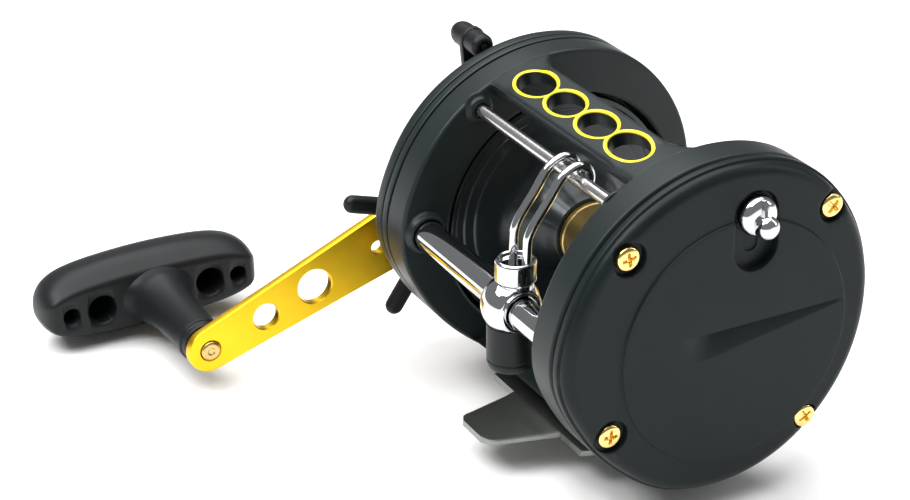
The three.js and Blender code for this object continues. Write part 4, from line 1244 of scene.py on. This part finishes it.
@dataclass
class ReelFoot:
    """Stamped foot: a wide base and two tongues that thin towards their rounded tips."""

    thick: float = 1.5
    base_half: float = 20.4
    base_reach: float = 19.6
    root_half: float = 10.3
    tip_half: float = 6.2
    tip: float = 35.7

    def half_width(self, along: float) -> float:
        """Give the foot's half width.

        Args:
            along: distance from its middle, towards a tip.

        Returns:
            The half width.
        """
        if along <= self.base_reach - 3.0:
            return self.base_half
        if along <= self.base_reach:
            return self.base_half - 1.0 * (along - self.base_reach + 3.0) / 3.0
        share = (along - self.base_reach) / (self.tip - self.base_reach)
        corner = max(0.0, along - (self.tip - 2.2)) / 2.2
        return self.root_half + (self.tip_half - self.root_half) * share - 2.0 * corner ** 3

    def build(self) -> None:
        """Build the foot with chamfered edges."""
        low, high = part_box("reel_foot")
        bottom = low.z / MM - SPOOL_AXIS[1]
        top = high.z / MM - SPOOL_AXIS[1]
        middle = (low.y + high.y) / 2 / MM - SPOOL_AXIS[0]
        stations = sorted({0.0, *[self.base_reach * i / 8 for i in range(9)], self.base_reach - 2.9,
                           self.base_reach + 0.01, self.base_reach + 0.5,
                           *[self.base_reach + (self.tip - self.base_reach) * i / 16 for i in range(17)]})
        line = [-s for s in reversed(stations)] + stations[1:]
        draft = Draft()
        rings = []
        for at in line:
            half = self.half_width(abs(at))
            lift = 0.42 * smoothstep((abs(at) - self.base_reach) / 3.0) * (
                1 - smoothstep((abs(at) - self.tip + 4) / 4) * 0.8)
            soft = 0.5 if abs(at) < self.tip - 0.2 else 0.7
            section = rounded([(-half * 0.6, top, 0), (-half, top, soft), (-half, bottom, 0.35),
                               (half, bottom, 0.35), (half, top, soft), (half * 0.6, top, 0)], 3)
            rings.append([(x, middle + at, z - (lift * 0.5 if z > bottom + 1.0 else 0.0))
                          for x, z in section])
        draft.loft(rings)
        draft.build("foot_plate", "frame_body", [STAINLESS], "steel", ["reel_foot"], smooth=30)


# ---- level wind --------------------------------------------------------------------------------------
@dataclass
class LevelWind:
    """Cross rod, slotted tube, worm with its crossed groove, and the line guide that rides them."""

    ball: float = 6.45
    collar: float = 4.45
    wire: float = 1.0
    tube_radius: float = 3.5
    tube_bore: float = 2.95
    slot_half: float = 24.0
    slot_end: float = 27.0
    worm_radius: float = 2.4
    worm_pitch: float = 8.0

    def top_rod(self) -> None:
        """Build the polished cross rod."""
        low, high = span_x("top_rod")
        draft = Draft()
        draft.turned(rounded([(low, 0, 0), (low, 1.45, 0.25), (high, 1.45, 0.25), (high, 0, 0)]),
                     local_axis("top_rod"), 40)
        draft.build("cross_rod", "frame_body", [STEEL], "steel", ["top_rod"])

    def tube(self) -> None:
        """Build the tube as a shell with its long slot underneath."""
        y, z = local_axis("level_wind_tube")
        low, high = span_x("level_wind_tube")
        draft = Draft()
        half = self.slot_half
        first, last = -self.slot_end, self.slot_end
        xs = [low, low + 0.2, *(first + (last - first) * i / 18 for i in range(19)), high - 0.2, high]
        outer, inner = (
            [draft.ring([(x, y + a, z + b) for a, b in
                         arc(radius - (shy if x in (low, high) else 0.0), 270 + half, 360 - 2 * half, 72)])
             for x in xs] for radius, shy in ((self.tube_radius, 0.15), (self.tube_bore, 0.0)))
        for rings in (outer, inner):
            for a, b in zip(rings, rings[1:]):
                draft.skin(a, b, closed=False)
        for a, b, c, d in zip(outer, outer[1:], inner, inner[1:]):
            draft.face((a[0], b[0], d[0], c[0]))
            draft.face((a[-1], b[-1], d[-1], c[-1]))
        for end in (0, -1):
            draft.skin(outer[end], inner[end], closed=False)
        section = (arc(self.tube_radius - 0.01, 270 - half, 2 * half, 12)
                   + arc(self.tube_bore + 0.01, 270 - half, 2 * half, 12)[::-1])
        for start, stop in ((low, first), (last, high)):
            draft.loft([[(x, y + a, z + b) for a, b in section] for x in (start, stop)])
        draft.build("level_wind_barrel", "frame_body", [CHROME], "chrome", ["level_wind_tube"], smooth=50)

    def worm(self) -> None:
        """Build the worm: a bar with a left and a right groove that cross all along it."""
        y, z = local_axis("worm_shaft")
        low, high = span_x("worm_shaft")
        draft = Draft()
        sides, count, pitch = 40, 260, self.worm_pitch
        rings = []
        for i in range(count + 1):
            x = -27.0 + 54.0 * i / count
            ring = []
            for k in range(sides):
                angle = 360 * k / sides
                cut = 0.0
                for way in (-1, 1):
                    phase = (x * way / pitch - angle / 360) % 1.0
                    gap = min(phase, 1 - phase) * pitch
                    cut = max(cut, 0.62 * smoothstep((0.95 - gap) / 0.5))
                dy, dz = polar(self.worm_radius - cut, angle)
                ring.append((x, y + dy, z + dz))
            rings.append(ring)

        def collar(xs: Sequence[float], radii: Sequence[float]) -> list[list[Point]]:
            """Plain turned rings for the worm's ends."""
            return [[(x, *p) for p in circle(r, sides, (y, z))] for x, r in zip(xs, radii)]

        start = collar((low, low + 0.2, -30.4, -30.4, -27.4), (1.1, 1.3, 1.3, 2.4, 2.4))
        end = collar((27.4, 30.4, 30.4, high - 0.2, high), (2.4, 2.4, 1.3, 1.3, 1.1))
        draft.loft(start + rings + end)
        draft.build("crossed_worm", "worm_body", [STEEL], "steel", ["worm_shaft"], smooth=60)

    def carriage(self) -> None:
        """Build the guide's ball, its side necks and the collar that holds the wires."""
        low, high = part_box("guide_wire_left")
        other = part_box("guide_wire_right")
        x0 = (low.x + other[1].x) / 2 / MM
        y, z = local_axis("level_wind_tube")
        draft = Draft()
        profile: list[Pair] = []
        for i in range(41):
            angle = math.radians(180 - 180 * i / 40)
            x, r = self.ball * math.cos(angle), self.ball * math.sin(angle)
            if r > 4.75:
                profile.append((x0 + x, r))
        first, last = profile[0][0], profile[-1][0]
        shell = rounded([(first - 0.1, 4.6, 0), (first - 0.7, 4.55, 0.1), (first - 0.7, 3.85, 0.1),
                         (last + 0.7, 3.85, 0.1), (last + 0.7, 4.55, 0.1), (last + 0.1, 4.6, 0)])[::-1]
        draft.turned(profile + shell, (y, z), 72, wrap=True)
        neck = (x0 + 0.6, y + 0.7)
        draft.stood(rounded([(z + 4.4, 0, 0), (z + 4.4, 3.9, 0), (z + 5.7, 4.0, 0.3),
                             (z + 6.0, self.collar, 0.3), (z + 10.3, self.collar, 0.4),
                             (z + 10.75, 3.9, 0.2), (z + 10.5, 3.5, 0.15), (z + 9.7, 3.4, 0.2),
                             (z + 9.7, 0, 0)]), neck, 64)
        draft.build("guide_block", "guide_body", [CHROME], "chrome", ["guide_carriage"], smooth=40)

    def wires(self) -> None:
        """Build the two guide wires that hook over the cross rod."""
        rod = local_axis("top_rod")
        y, z = local_axis("level_wind_tube")
        for name, node in (("guide_wire_inner", "guide_wire_left"),
                           ("guide_wire_outer", "guide_wire_right")):
            low, high = span_x(node)
            x = (low + high) / 2 + 0.7
            hook = [(x, rod[0] + a, rod[1] + b) for a, b in
                    (polar(2.95, angle) for angle in (112, 90, 66, 42, 18, -6, -30, -46))]
            path = [(x, y + 1.6, z + 8.2), (x, y + 1.7, z + 13.0), (x, y + 1.9, z + 16.0),
                    (x, y + 2.9, z + 18.4), (x, y + 6.4, z + 23.4), (x, y + 9.9, z + 28.4), *hook]
            draft = Draft()
            draft.rod(spline(path, 9), self.wire, 24)
            draft.build(name, "guide_body", [CHROME], "chrome", [node], smooth=50)

    def cap(self) -> None:
        """Build the pawl cap under the ball."""
        low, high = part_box("pawl_cap")
        x = (low.x + high.x) / 2 / MM
        y = (low.y + high.y) / 2 / MM - SPOOL_AXIS[0]
        bottom, top = low.z / MM - SPOOL_AXIS[1], high.z / MM - SPOOL_AXIS[1]
        draft = Draft()
        draft.stood(rounded([(bottom, 0, 0), (bottom, 4.5, 0.5), (bottom + 1.0, 5.0, 0.4),
                             (bottom + 1.9, 5.1, 0.1), (bottom + 2.1, 4.95, 0.1), (bottom + 2.4, 4.95, 0.1),
                             (bottom + 2.6, 5.1, 0.1), (top, 5.1, 0.35), (top, 4.3, 0.2),
                             (top - 2.3, 3.4, 0), (top - 3.6, 2.4, 0), (top - 3.8, 0, 0)]), (x, y), 64)
        draft.build("pawl_screw_cap", "guide_body", [NYLON], "black_plastic", ["pawl_cap"])

    def build(self) -> None:
        """Build the level wind's pieces."""
        self.top_rod()
        self.tube()
        self.worm()
        self.carriage()
        self.wires()
        self.cap()


# ---- spool -----------------------------------------------------------------------------------------
@dataclass
class Spool:
    """Dished spool with lipped flanges, cones, and a brass sleeve between them."""

    sleeve: float = 7.7

    def build(self) -> None:
        """Build the spool and its sleeve."""
        def side(s: int) -> list[tuple[float, float, float]]:
            """Profile of one flange, from the arbor to the back."""
            return [(s * 17.0, 4.4, 0), (s * 16.9, 8.4, 0.3), (s * 19.6, 9.3, 1.0), (s * 25.4, 11.8, 2.5),
                    (s * 28.4, 15.6, 2.0), (s * 29.3, 22.2, 0.5), (s * 29.6, 22.5, 0.2),
                    (s * 29.75, 24.6, 0.15), (s * 30.1, 24.9, 0.15), (s * 30.15, 26.5, 0.2),
                    (s * 29.7, 26.9, 0.2), (s * 29.8, 28.0, 0.3), (s * 31.6, 28.15, 0.3),
                    (s * 31.75, 27.0, 0.2), (s * 31.75, 9.0, 0.4), (s * 32.3, 7.0, 0.4),
                    (s * 32.35, 2.4, 0)]
        profile = rounded(side(-1)[::-1] + side(1))
        draft = Draft()
        draft.turned(profile, (0, 0), 128, wrap=True)
        draft.build("spool_body_shell", "spool_body", [SPOOL_BLACK], "spool_black", ["spool"], smooth=32)
        end = 16.7
        r = self.sleeve
        sleeve = rounded([(-end, 4.6, 0), (-end, r, 0.2), (-15.6, r, 0), (-15.4, r - 0.2, 0.05),
                          (-15.0, r - 0.2, 0.05), (-14.8, r, 0), (14.8, r, 0), (15.0, r - 0.2, 0.05),
                          (15.4, r - 0.2, 0.05), (15.6, r, 0), (end, r, 0.2), (end, 4.6, 0)], 3)
        draft = Draft()
        draft.turned(sleeve, (0, 0), 96, wrap=True)
        draft.build("arbor_sleeve", "spool_body", [BRASS], "brass", ["spool_arbor"])


# ---- handle side -------------------------------------------------------------------------------------
@dataclass
class StarDrag:
    """Star wheel: a hub with five rounded arms."""

    x: float = -51.8
    thick: float = 3.4
    hub: float = 9.5
    tip: float = 28.0
    arms: int = 5
    first: float = 164.0
    arm_half: float = 2.15

    def reach(self, degrees: float) -> float:
        """Find the star's edge: arms with parallel sides and round tips, filleted to the hub.

        Args:
            degrees: angle from the rear (+Y) towards the top (+Z).

        Returns:
            Distance of the edge from the star's middle.
        """
        step = 360 / self.arms
        off = (degrees - self.first + step / 2) % step - step / 2
        angle = math.radians(abs(off))
        best = self.hub + 1.6 * math.exp(-(max(0.0, abs(off) - 13) / 9) ** 2)
        across = math.sin(angle)
        if across < 1e-6:
            return self.tip
        straight = self.arm_half / across
        centre = self.tip - self.arm_half
        disc = self.arm_half ** 2 - (centre * across) ** 2
        if disc > 0:
            return max(best, centre * math.cos(angle) + math.sqrt(disc))
        return max(best, min(straight, centre))

    def build(self) -> None:
        """Build the star as rounded layers of its own outline."""
        at = local_axis("drive_shaft")
        draft = Draft()
        fan = (1.2, 2.4, 3.2, 3.8, 4.2, 4.5, 4.7, 4.9, 5.2, 5.6, 6, 6.5, 7.2, 8, 9, 10, 11, 12, 13.5, 16,
               19, 24, 30)
        angles = [self.first + i * 72 + a for i in range(self.arms)
                  for a in (*(-f for f in reversed(fan)), 0, *fan, 36)]

        def ring(x: float, inset: float) -> list[Point]:
            """The star's outline at x, thinned by inset."""
            slim = StarDrag(hub=self.hub - inset, tip=self.tip - inset, arm_half=self.arm_half - inset)
            return [(x, at[0] + dy, at[1] + dz) for dy, dz in (polar(slim.reach(a), a) for a in angles)]

        middle, half = self.x - self.thick / 2, self.thick / 2
        rings = []
        for k in range(-6, 7):
            a = math.radians(15 * k)
            rings.append(ring(middle - half * math.sin(a), 1.35 * (1 - math.cos(a))))
        hole = [[(x, at[0] + dy, at[1] + dz) for dy, dz in (polar(2.9, a) for a in angles)]
                for x in (middle - half, middle + half)]
        draft.loft(rings + hole, wrap=True)
        draft.turned(rounded([(self.x + 0.05, 3.0, 0), (self.x + 0.05, 6.4, 0.4), (self.x - 1.0, 6.6, 0),
                              (self.x - 1.0, 3.0, 0)]), at, 64, wrap=True)
        draft.build("star_wheel", "star_body", [NYLON], "black_plastic", ["star_drag"], smooth=40)


@dataclass
class HandleArm:
    """Gold arm: tapering, round-ended, drilled and chamfered, with its nut and the grip's rivet."""

    x: float = -56.0
    thick: float = 2.4
    length: float = 64.6
    angle: float = 201.2
    hub: float = 8.6
    tip: float = 5.4
    holes: tuple[Pair, ...] = ((49.5, 3.2), (36.1, 4.25), (18.5, 1.6))

    def point(self, along: float, aside: float = 0.0) -> Pair:
        """Turn distances along and across the arm into Y and Z."""
        u, v = polar(1.0, self.angle)
        y, z = local_axis("drive_shaft")
        return y + along * u - aside * v, z + along * v + aside * u

    def edge(self, inset: float) -> list[Pair]:
        """Give the outline of the arm.

        Args:
            inset: how far it is pulled in.

        Returns:
            Distances along and across the arm.
        """
        lean = math.degrees(math.asin((self.hub - self.tip) / self.length))
        points: list[Pair] = []
        for i in range(29):
            points.append(polar(self.hub - inset, 90 - lean + (180 + 2 * lean) * i / 28))
        for i in range(29):
            a, b = polar(self.tip - inset, -90 - lean + (180 + 2 * lean) * i / 28)
            points.append((self.length + a, b))
        dense: list[Pair] = []
        for i, ((a, b), (c, d)) in enumerate(zip(points, points[1:] + points[:1])):
            steps = 16 if i in (28, 57) else 1
            dense.extend((a + (c - a) * k / steps, b + (d - b) * k / steps) for k in range(steps))
        return dense

    def build(self) -> None:
        """Build the arm and its nut."""
        draft = Draft()
        chamfer, bevel = 0.42, 0.25
        front, back = self.x, self.x - self.thick
        layers = ((front, chamfer), (front - 0.1, chamfer * 0.4), (front - chamfer, 0.0),
                  (back + chamfer, 0.0), (back + 0.1, chamfer * 0.4), (back, chamfer))
        rings = [draft.ring([(x, *self.point(a, b)) for a, b in self.edge(inset)]) for x, inset in layers]
        for k, (a, b) in enumerate(zip(rings, rings[1:])):
            draft.skin(a, b)
        bored = [*self.holes, (0.0, 2.9), (self.length, 2.45)]
        for x in (front, back):
            points = [Vector(p) for p in self.edge(chamfer)]
            edges = [(i, (i + 1) % len(points)) for i in range(len(points))]
            for at, radius in bored:
                base = len(points)
                points.extend(Vector(p) for p in circle(radius + bevel, 48, (at, 0.0)))
                edges.extend((base + i, base + (i + 1) % 48) for i in range(48))
            found = delaunay_2d_cdt(points, edges, [], 1, 1e-5)
            numbers = draft.ring([(x, *self.point(p.x, p.y)) for p in found[0]])
            for corners in found[2]:
                u = sum(found[0][c].x for c in corners) / len(corners)
                v = sum(found[0][c].y for c in corners) / len(corners)
                if all(math.hypot(u - at, v) > radius + bevel - 0.01 for at, radius in bored):
                    draft.face(tuple(numbers[c] for c in corners))
        for at, radius in bored:
            wall = ((front, radius + bevel), (front - bevel, radius), (back + bevel, radius),
                    (back, radius + bevel))
            loops = [draft.ring([(x, *self.point(*p)) for p in circle(r, 48, (at, 0.0))]) for x, r in wall]
            for a, b in zip(loops, loops[1:]):
                draft.skin(a, b)
        draft.build("crank_arm", "drive_body", [GOLD], "gold", ["handle_arm"], smooth=30)
        self.nut()
        self.rivet()

    def nut(self) -> None:
        """Build the domed hexagon nut on the drive shaft."""
        at = local_axis("drive_shaft")
        draft = Draft()

        def hexagon(x: float, grow: float) -> list[Point]:
            """Hexagon ring with its corners cut round, at x."""
            ring = []
            for i in range(72):
                angle = 360 * i / 72
                flat = 4.65 / math.cos(math.radians((angle - 10) % 60 - 30))
                dy, dz = polar(min(flat, 5.25) * grow, angle)
                ring.append((x, at[0] + dy, at[1] + dz))
            return ring

        rings = [hexagon(-58.75, 0.93), hexagon(-59.0, 1.0), hexagon(-60.3, 1.0), hexagon(-60.6, 0.93)]
        for k in range(9):
            a = math.radians(10 * k)
            rings.append([(-60.6 - 2.2 * math.sin(a), *p) for p in circle(4.3 * math.cos(a), 72, at)])
        rings.append([(-62.85, *at)])
        draft.loft(rings)
        draft.build("arm_nut", "drive_body", [CHROME], "chrome", ["handle_nut"], smooth=35)

    def rivet(self) -> None:
        """Build the grip's spindle with its peened head in the arm."""
        at = self.point(self.length)
        low, high = span_x("grip_spindle")
        draft = Draft()
        behind = self.x - self.thick - 0.3
        draft.turned(rounded([(high - 0.25, 0, 0), (high - 0.28, 0.7, 0.1), (high, 0.95, 0.1),
                              (high, 1.9, 0.25), (high - 0.4, 2.35, 0.2), (behind, 2.2, 0),
                              (behind, 2.0, 0), (self.x - 34, 2.0, 0),
                              (self.x - 34, 2.6, 0.1), (low, 2.6, 0.4), (low, 0, 0)]), at, 48)
        draft.build("grip_rivet", "drive_body", [BRASS], "gold_screw", ["grip_spindle"])


@dataclass
class Grip:
    """Paddle grip: a tapering stem into a crowned bar, flat inside with four round pockets."""

    half: float = 27.8
    shift: float = -0.9
    tilt: float = 182.0
    inner: float = -88.3
    core: float = -96.0
    profile: tuple[tuple[float, float, float], ...] = (
        (-88.3, 0.0, 0), (-88.3, 6.6, 1.3), (-93.6, 9.9, 2.6), (-101.6, 9.0, 3.6), (-105.4, 4.6, 3.0),
        (-105.6, 0.0, 0))

    def __post_init__(self) -> None:
        """Find the grip's own axis."""
        self.centre = HandleArm().point(HandleArm().length)

    def place(self, x: float, along: float, up: float) -> Point:
        """Turn grip coordinates into a point."""
        c, s = polar(1.0, self.tilt - 180)
        return (x, self.centre[0] + along * c - up * s, self.centre[1] + along * s + up * c)

    def section(self, share: float) -> list[Point]:
        """Cross-section of the bar at a share of its half length.

        Args:
            share: -1 at one end, 1 at the other.

        Returns:
            Ring of points.
        """
        edge = abs(share)
        close = (1 - edge ** 7) ** 0.5
        tall = (0.76 + 0.24 * math.cos(share * 1.45)) * close
        deep = (0.82 + 0.18 * math.cos(share * 1.45)) * close
        flat = (1 - max(0.0, (edge - 0.88) / 0.12) ** 2) ** 0.5
        upper = rounded(self.profile, 6)
        lower = [(x, -u) for x, u in reversed(upper)][1:-1]
        return [self.place(self.core + (x - self.core) * (flat if x > self.core else deep),
                           self.shift + self.half * share, u * tall) for x, u in upper + lower]

    def build(self) -> None:
        """Build the grip from its bar, its stem and its pockets."""
        draft = Draft()
        shares = [math.sin(math.radians(90 * i / 44)) * 0.9995 for i in range(-44, 45)]
        draft.loft([self.section(s) for s in shares])
        made = draft.build("paddle_grip", "grip_body", [NYLON], "black_plastic", ["grip"], smooth=48)
        self.pockets(made)
        self.stem(made)

    def stem(self, made: bpy.types.Object) -> None:
        """Add the stem to the grip's bar.

        Args:
            made: the bar.
        """
        draft = Draft()
        base = HandleArm().x - HandleArm().thick
        stem = rounded([(base - 1.2, 2.4, 0), (base - 1.2, 4.9, 0.4), (base - 3.0, 5.0, 0.5),
                        (base - 3.3, 5.5, 0.3), (base - 14, 5.4, 4), (base - 22, 5.9, 3.5),
                        (base - 27.6, 7.0, 2.6), (base - 30.4, 9.6, 0), (base - 32.5, 2.4, 0)])
        draft.loft([[self.place(x, radius * c, (radius if radius < 3 else min(radius, 6.9)) * s)
                     for c, s in circle(1.0, 80)] for x, radius in stem], wrap=True)
        extra = draft.build("grip_stem", "grip_body", [NYLON], "black_plastic", smooth=48)
        joined = bmesh.new()
        joined.from_mesh(made.data)
        joined.from_mesh(extra.data)
        joined.to_mesh(made.data)
        joined.free()
        made.data.set_sharp_from_angle(angle=math.radians(48))
        bpy.data.objects.remove(extra)

    def pockets(self, made: bpy.types.Object) -> None:
        """Sink the four pockets into the grip's inner face.

        Args:
            made: the bar.
        """
        cutter = Draft()
        for along, radius in ((-22.0, 2.2), (-14.3, 3.7), (13.2, 3.7), (20.6, 2.2)):
            c, s = polar(1.0, self.tilt - 180)
            at = (self.centre[0] + along * c, self.centre[1] + along * s)
            cutter.turned([(-80.0, 0.0), (-80.0, radius), (self.inner - 8.5, radius * 0.94),
                           (self.inner - 8.5, 0.0)], at, 40)
        tool = cutter.build("pocket_tool", "grip_body", [NYLON], "black_plastic")
        cut = made.modifiers.new("pockets", "BOOLEAN")
        cut.operation = "DIFFERENCE"
        cut.object = tool
        cut.solver = "EXACT"
        made.modifiers.move(len(made.modifiers) - 1, 0)
        bpy.context.view_layer.update()
        graph = bpy.context.evaluated_depsgraph_get()
        weighted = made.modifiers["even_normals"]
        weighted.show_viewport = False
        graph.update()
        carved = bpy.data.meshes.new_from_object(made.evaluated_get(graph))
        made.modifiers.remove(cut)
        weighted.show_viewport = True
        made.data = carved
        carved.set_sharp_from_angle(angle=math.radians(48))
        bpy.data.objects.remove(tool)


@dataclass
class FreeSpoolLever:
    """Thumb lever over the gear cover, ending in a round tab."""

    x: float = -48.2
    thick: float = 2.0
    tab: Pair = (-12.5, 37.6)
    root_radius: float = 5.2
    tip_radius: float = 3.1

    def build(self) -> None:
        """Build the lever."""
        x, thick, tab, pivot = self.x, self.thick, self.tab, LEVER_PIVOT
        way = Vector((tab[0] - pivot[0], tab[1] - pivot[1]))
        length = way.length
        way.normalize()

        def at(along: float, aside: float) -> Pair:
            """Turn distances along and across the lever into Y and Z."""
            return pivot[0] + way.x * along - way.y * aside, pivot[1] + way.y * along + way.x * aside

        def edge(inset: float) -> list[Pair]:
            """Outline of the flat lever, pulled in by inset."""
            root = arc(self.root_radius - inset, 78, 204, 24)
            tip = arc(self.tip_radius - inset, -90, 180, 18)
            return [at(a, b) for a, b in root + [(length + a, b) for a, b in tip]]

        draft = Draft()
        layers = ((x, 0.5), (x - 0.15, 0.15), (x - 0.5, 0.0), (x - thick + 0.5, 0.0),
                  (x - thick + 0.15, 0.15), (x - thick, 0.5))
        draft.loft([[(lx, y, z) for y, z in edge(inset)] for lx, inset in layers])
        draft.turned(rounded([(-43.2, 0, 0), (-43.2, 0.75, 0.1), (-44.1, 0.8, 0.1), (-44.1, 1.25, 0.1),
                              (-43.2, 1.35, 0.15), (-43.2, 2.1, 0.5), (-44.2, 2.75, 0.5),
                              (-54.3, 2.85, 1.3), (-56.3, 1.7, 0.9), (-56.5, 0, 0)]), tab, 56)
        shaft, back = -41.5, x - thick
        draft.turned([(x + 0.2, 0), (x + 0.2, 2.0), (shaft, 2.0), (shaft, 0)], pivot, 40)
        draft.turned(rounded([(back + 0.1, 0, 0), (back + 0.1, 3.1, 0.1), (back - 0.45, 3.0, 0.3),
                              (back - 0.6, 0, 0)]), pivot, 48)
        draft.build("thumb_lever", "lever_body", [NYLON], "black_plastic", ["free_spool_lever"], smooth=38)


# ---- inner works ---------------------------------------------------------------------------------------
@dataclass
class Works:
    """Inner works that keep their CAD shapes, dressed by finish."""

    finishes: dict[str, Finish] = field(default_factory=lambda: {
        "main_gear": BRASS, "pinion": BRASS, "click_gear": BRASS, "idler_gear": FRICTION,
        "worm_gear": FRICTION, "drag_washer_inner": FRICTION, "drag_washer_outer": FRICTION})

    def build(self) -> None:
        """Dress every CAD node that still shows."""
        for name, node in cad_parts.items():
            if node.hide_render:
                continue
            finish = self.finishes.get(name, STEEL)
            node.data.materials.clear()
            node.data.materials.append(finish.material())
            LOG.info("%s keeps its shape, dressed as %s", name, finish.name)


# ---- studio ----------------------------------------------------------------------------------------------
@dataclass
class Studio:
    """Pale floor, soft lights and the camera."""

    azimuth: float = 62.11
    elevation: float = 25.98
    lens: float = 94.4
    distance: float = 520.0
    aim: Point = (-16.8, -34.0, 3.4)

    def direction(self, azimuth: float, elevation: float) -> Vector:
        """Give the unit vector from the reel towards a place given by its angles."""
        a, e = math.radians(azimuth), math.radians(elevation)
        return Vector((math.sin(a) * math.cos(e), -math.cos(a) * math.cos(e), math.sin(e)))

    def camera(self) -> None:
        """Set up the camera."""
        data = bpy.data.cameras.new("camera")
        data.lens = self.lens
        data.sensor_width = 36.0
        data.clip_start, data.clip_end = 0.01, 20.0
        made = bpy.data.objects.new("camera", data)
        back = self.direction(self.azimuth, self.elevation)
        aim = Vector((self.aim[0], self.aim[1] + SPOOL_AXIS[0], self.aim[2] + SPOOL_AXIS[1])) * MM
        made.location = aim + back * self.distance * MM
        made.rotation_mode = "QUATERNION"
        made.rotation_quaternion = (-back).to_track_quat("-Z", "Y")
        bpy.context.scene.collection.objects.link(made)
        bpy.context.scene.camera = made

    def lamp(self, name: str, azimuth: float, elevation: float, distance: float, size: Pair,
             power: float) -> None:
        """Hang one soft rectangular light that faces the reel.

        Args:
            name: name of the light.
            azimuth: its direction round the reel, in degrees.
            elevation: its direction above the floor, in degrees.
            distance: how far off it hangs, in metres.
            size: its sides, in metres.
            power: its power in watts.
        """
        data = bpy.data.lights.new(name, "AREA")
        data.shape = "RECTANGLE"
        data.size, data.size_y = size
        data.energy = power
        made = bpy.data.objects.new(name, data)
        way = self.direction(azimuth, elevation)
        made.location = Vector((-0.02, -0.02, 0.03)) + way * distance
        made.rotation_mode = "QUATERNION"
        made.rotation_quaternion = (-way).to_track_quat("-Z", "Y")
        bpy.context.scene.collection.objects.link(made)

    def surroundings(self) -> None:
        """Lay the floor and light the room."""
        low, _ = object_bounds()
        mesh = bpy.data.meshes.new("studio_floor")
        size, z = 6.0, low.z - 0.001
        mesh.from_pydata([(-size, -size, z), (size, -size, z), (size, size, z), (-size, size, z)], [],
                         [(0, 1, 2, 3)])
        floor = bpy.data.objects.new("studio_floor", mesh)
        bpy.context.scene.collection.objects.link(floor)
        paper = bpy.data.materials.new("studio_paper")
        paper.use_nodes = True
        shader = paper.node_tree.nodes["Principled BSDF"]
        shader.inputs["Base Color"].default_value = (0.9, 0.9, 0.9, 1)
        shader.inputs["Roughness"].default_value = 0.9
        mesh.materials.append(paper)
        floor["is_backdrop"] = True
        world = bpy.data.worlds.new("studio_room")
        world.use_nodes = True
        world.node_tree.nodes["Background"].inputs["Color"].default_value = (1.0, 1.0, 1.0, 1)
        world.node_tree.nodes["Background"].inputs["Strength"].default_value = 0.24
        bpy.context.scene.world = world
        view = bpy.context.scene.view_settings
        view.view_transform = "Standard"
        view.look = "None"
        view.exposure = 0.0

    def build(self) -> None:
        """Set up floor, lights and camera."""
        self.surroundings()
        self.lamp("top_light", 300, 80, 1.5, (2.4, 2.0), 62)
        self.lamp("key_light", 345, 52, 1.2, (0.5, 0.5), 6)
        self.lamp("side_light", 150, 30, 1.5, (0.3, 1.2), 4)
        self.camera()


def main() -> None:
    """Build the reel's pieces in order, then the studio."""
    Frame().build()
    TailPlate().build()
    MechanismPlate().build()
    GearCover().build()
    ReelFoot().build()
    LevelWind().build()
    Spool().build()
    StarDrag().build()
    HandleArm().build()
    Grip().build()
    FreeSpoolLever().build()
    Works().build()
    Studio().build()


if __name__ == "__main__":
    logging.basicConfig(level=logging.INFO, format="%(message)s")
    main()
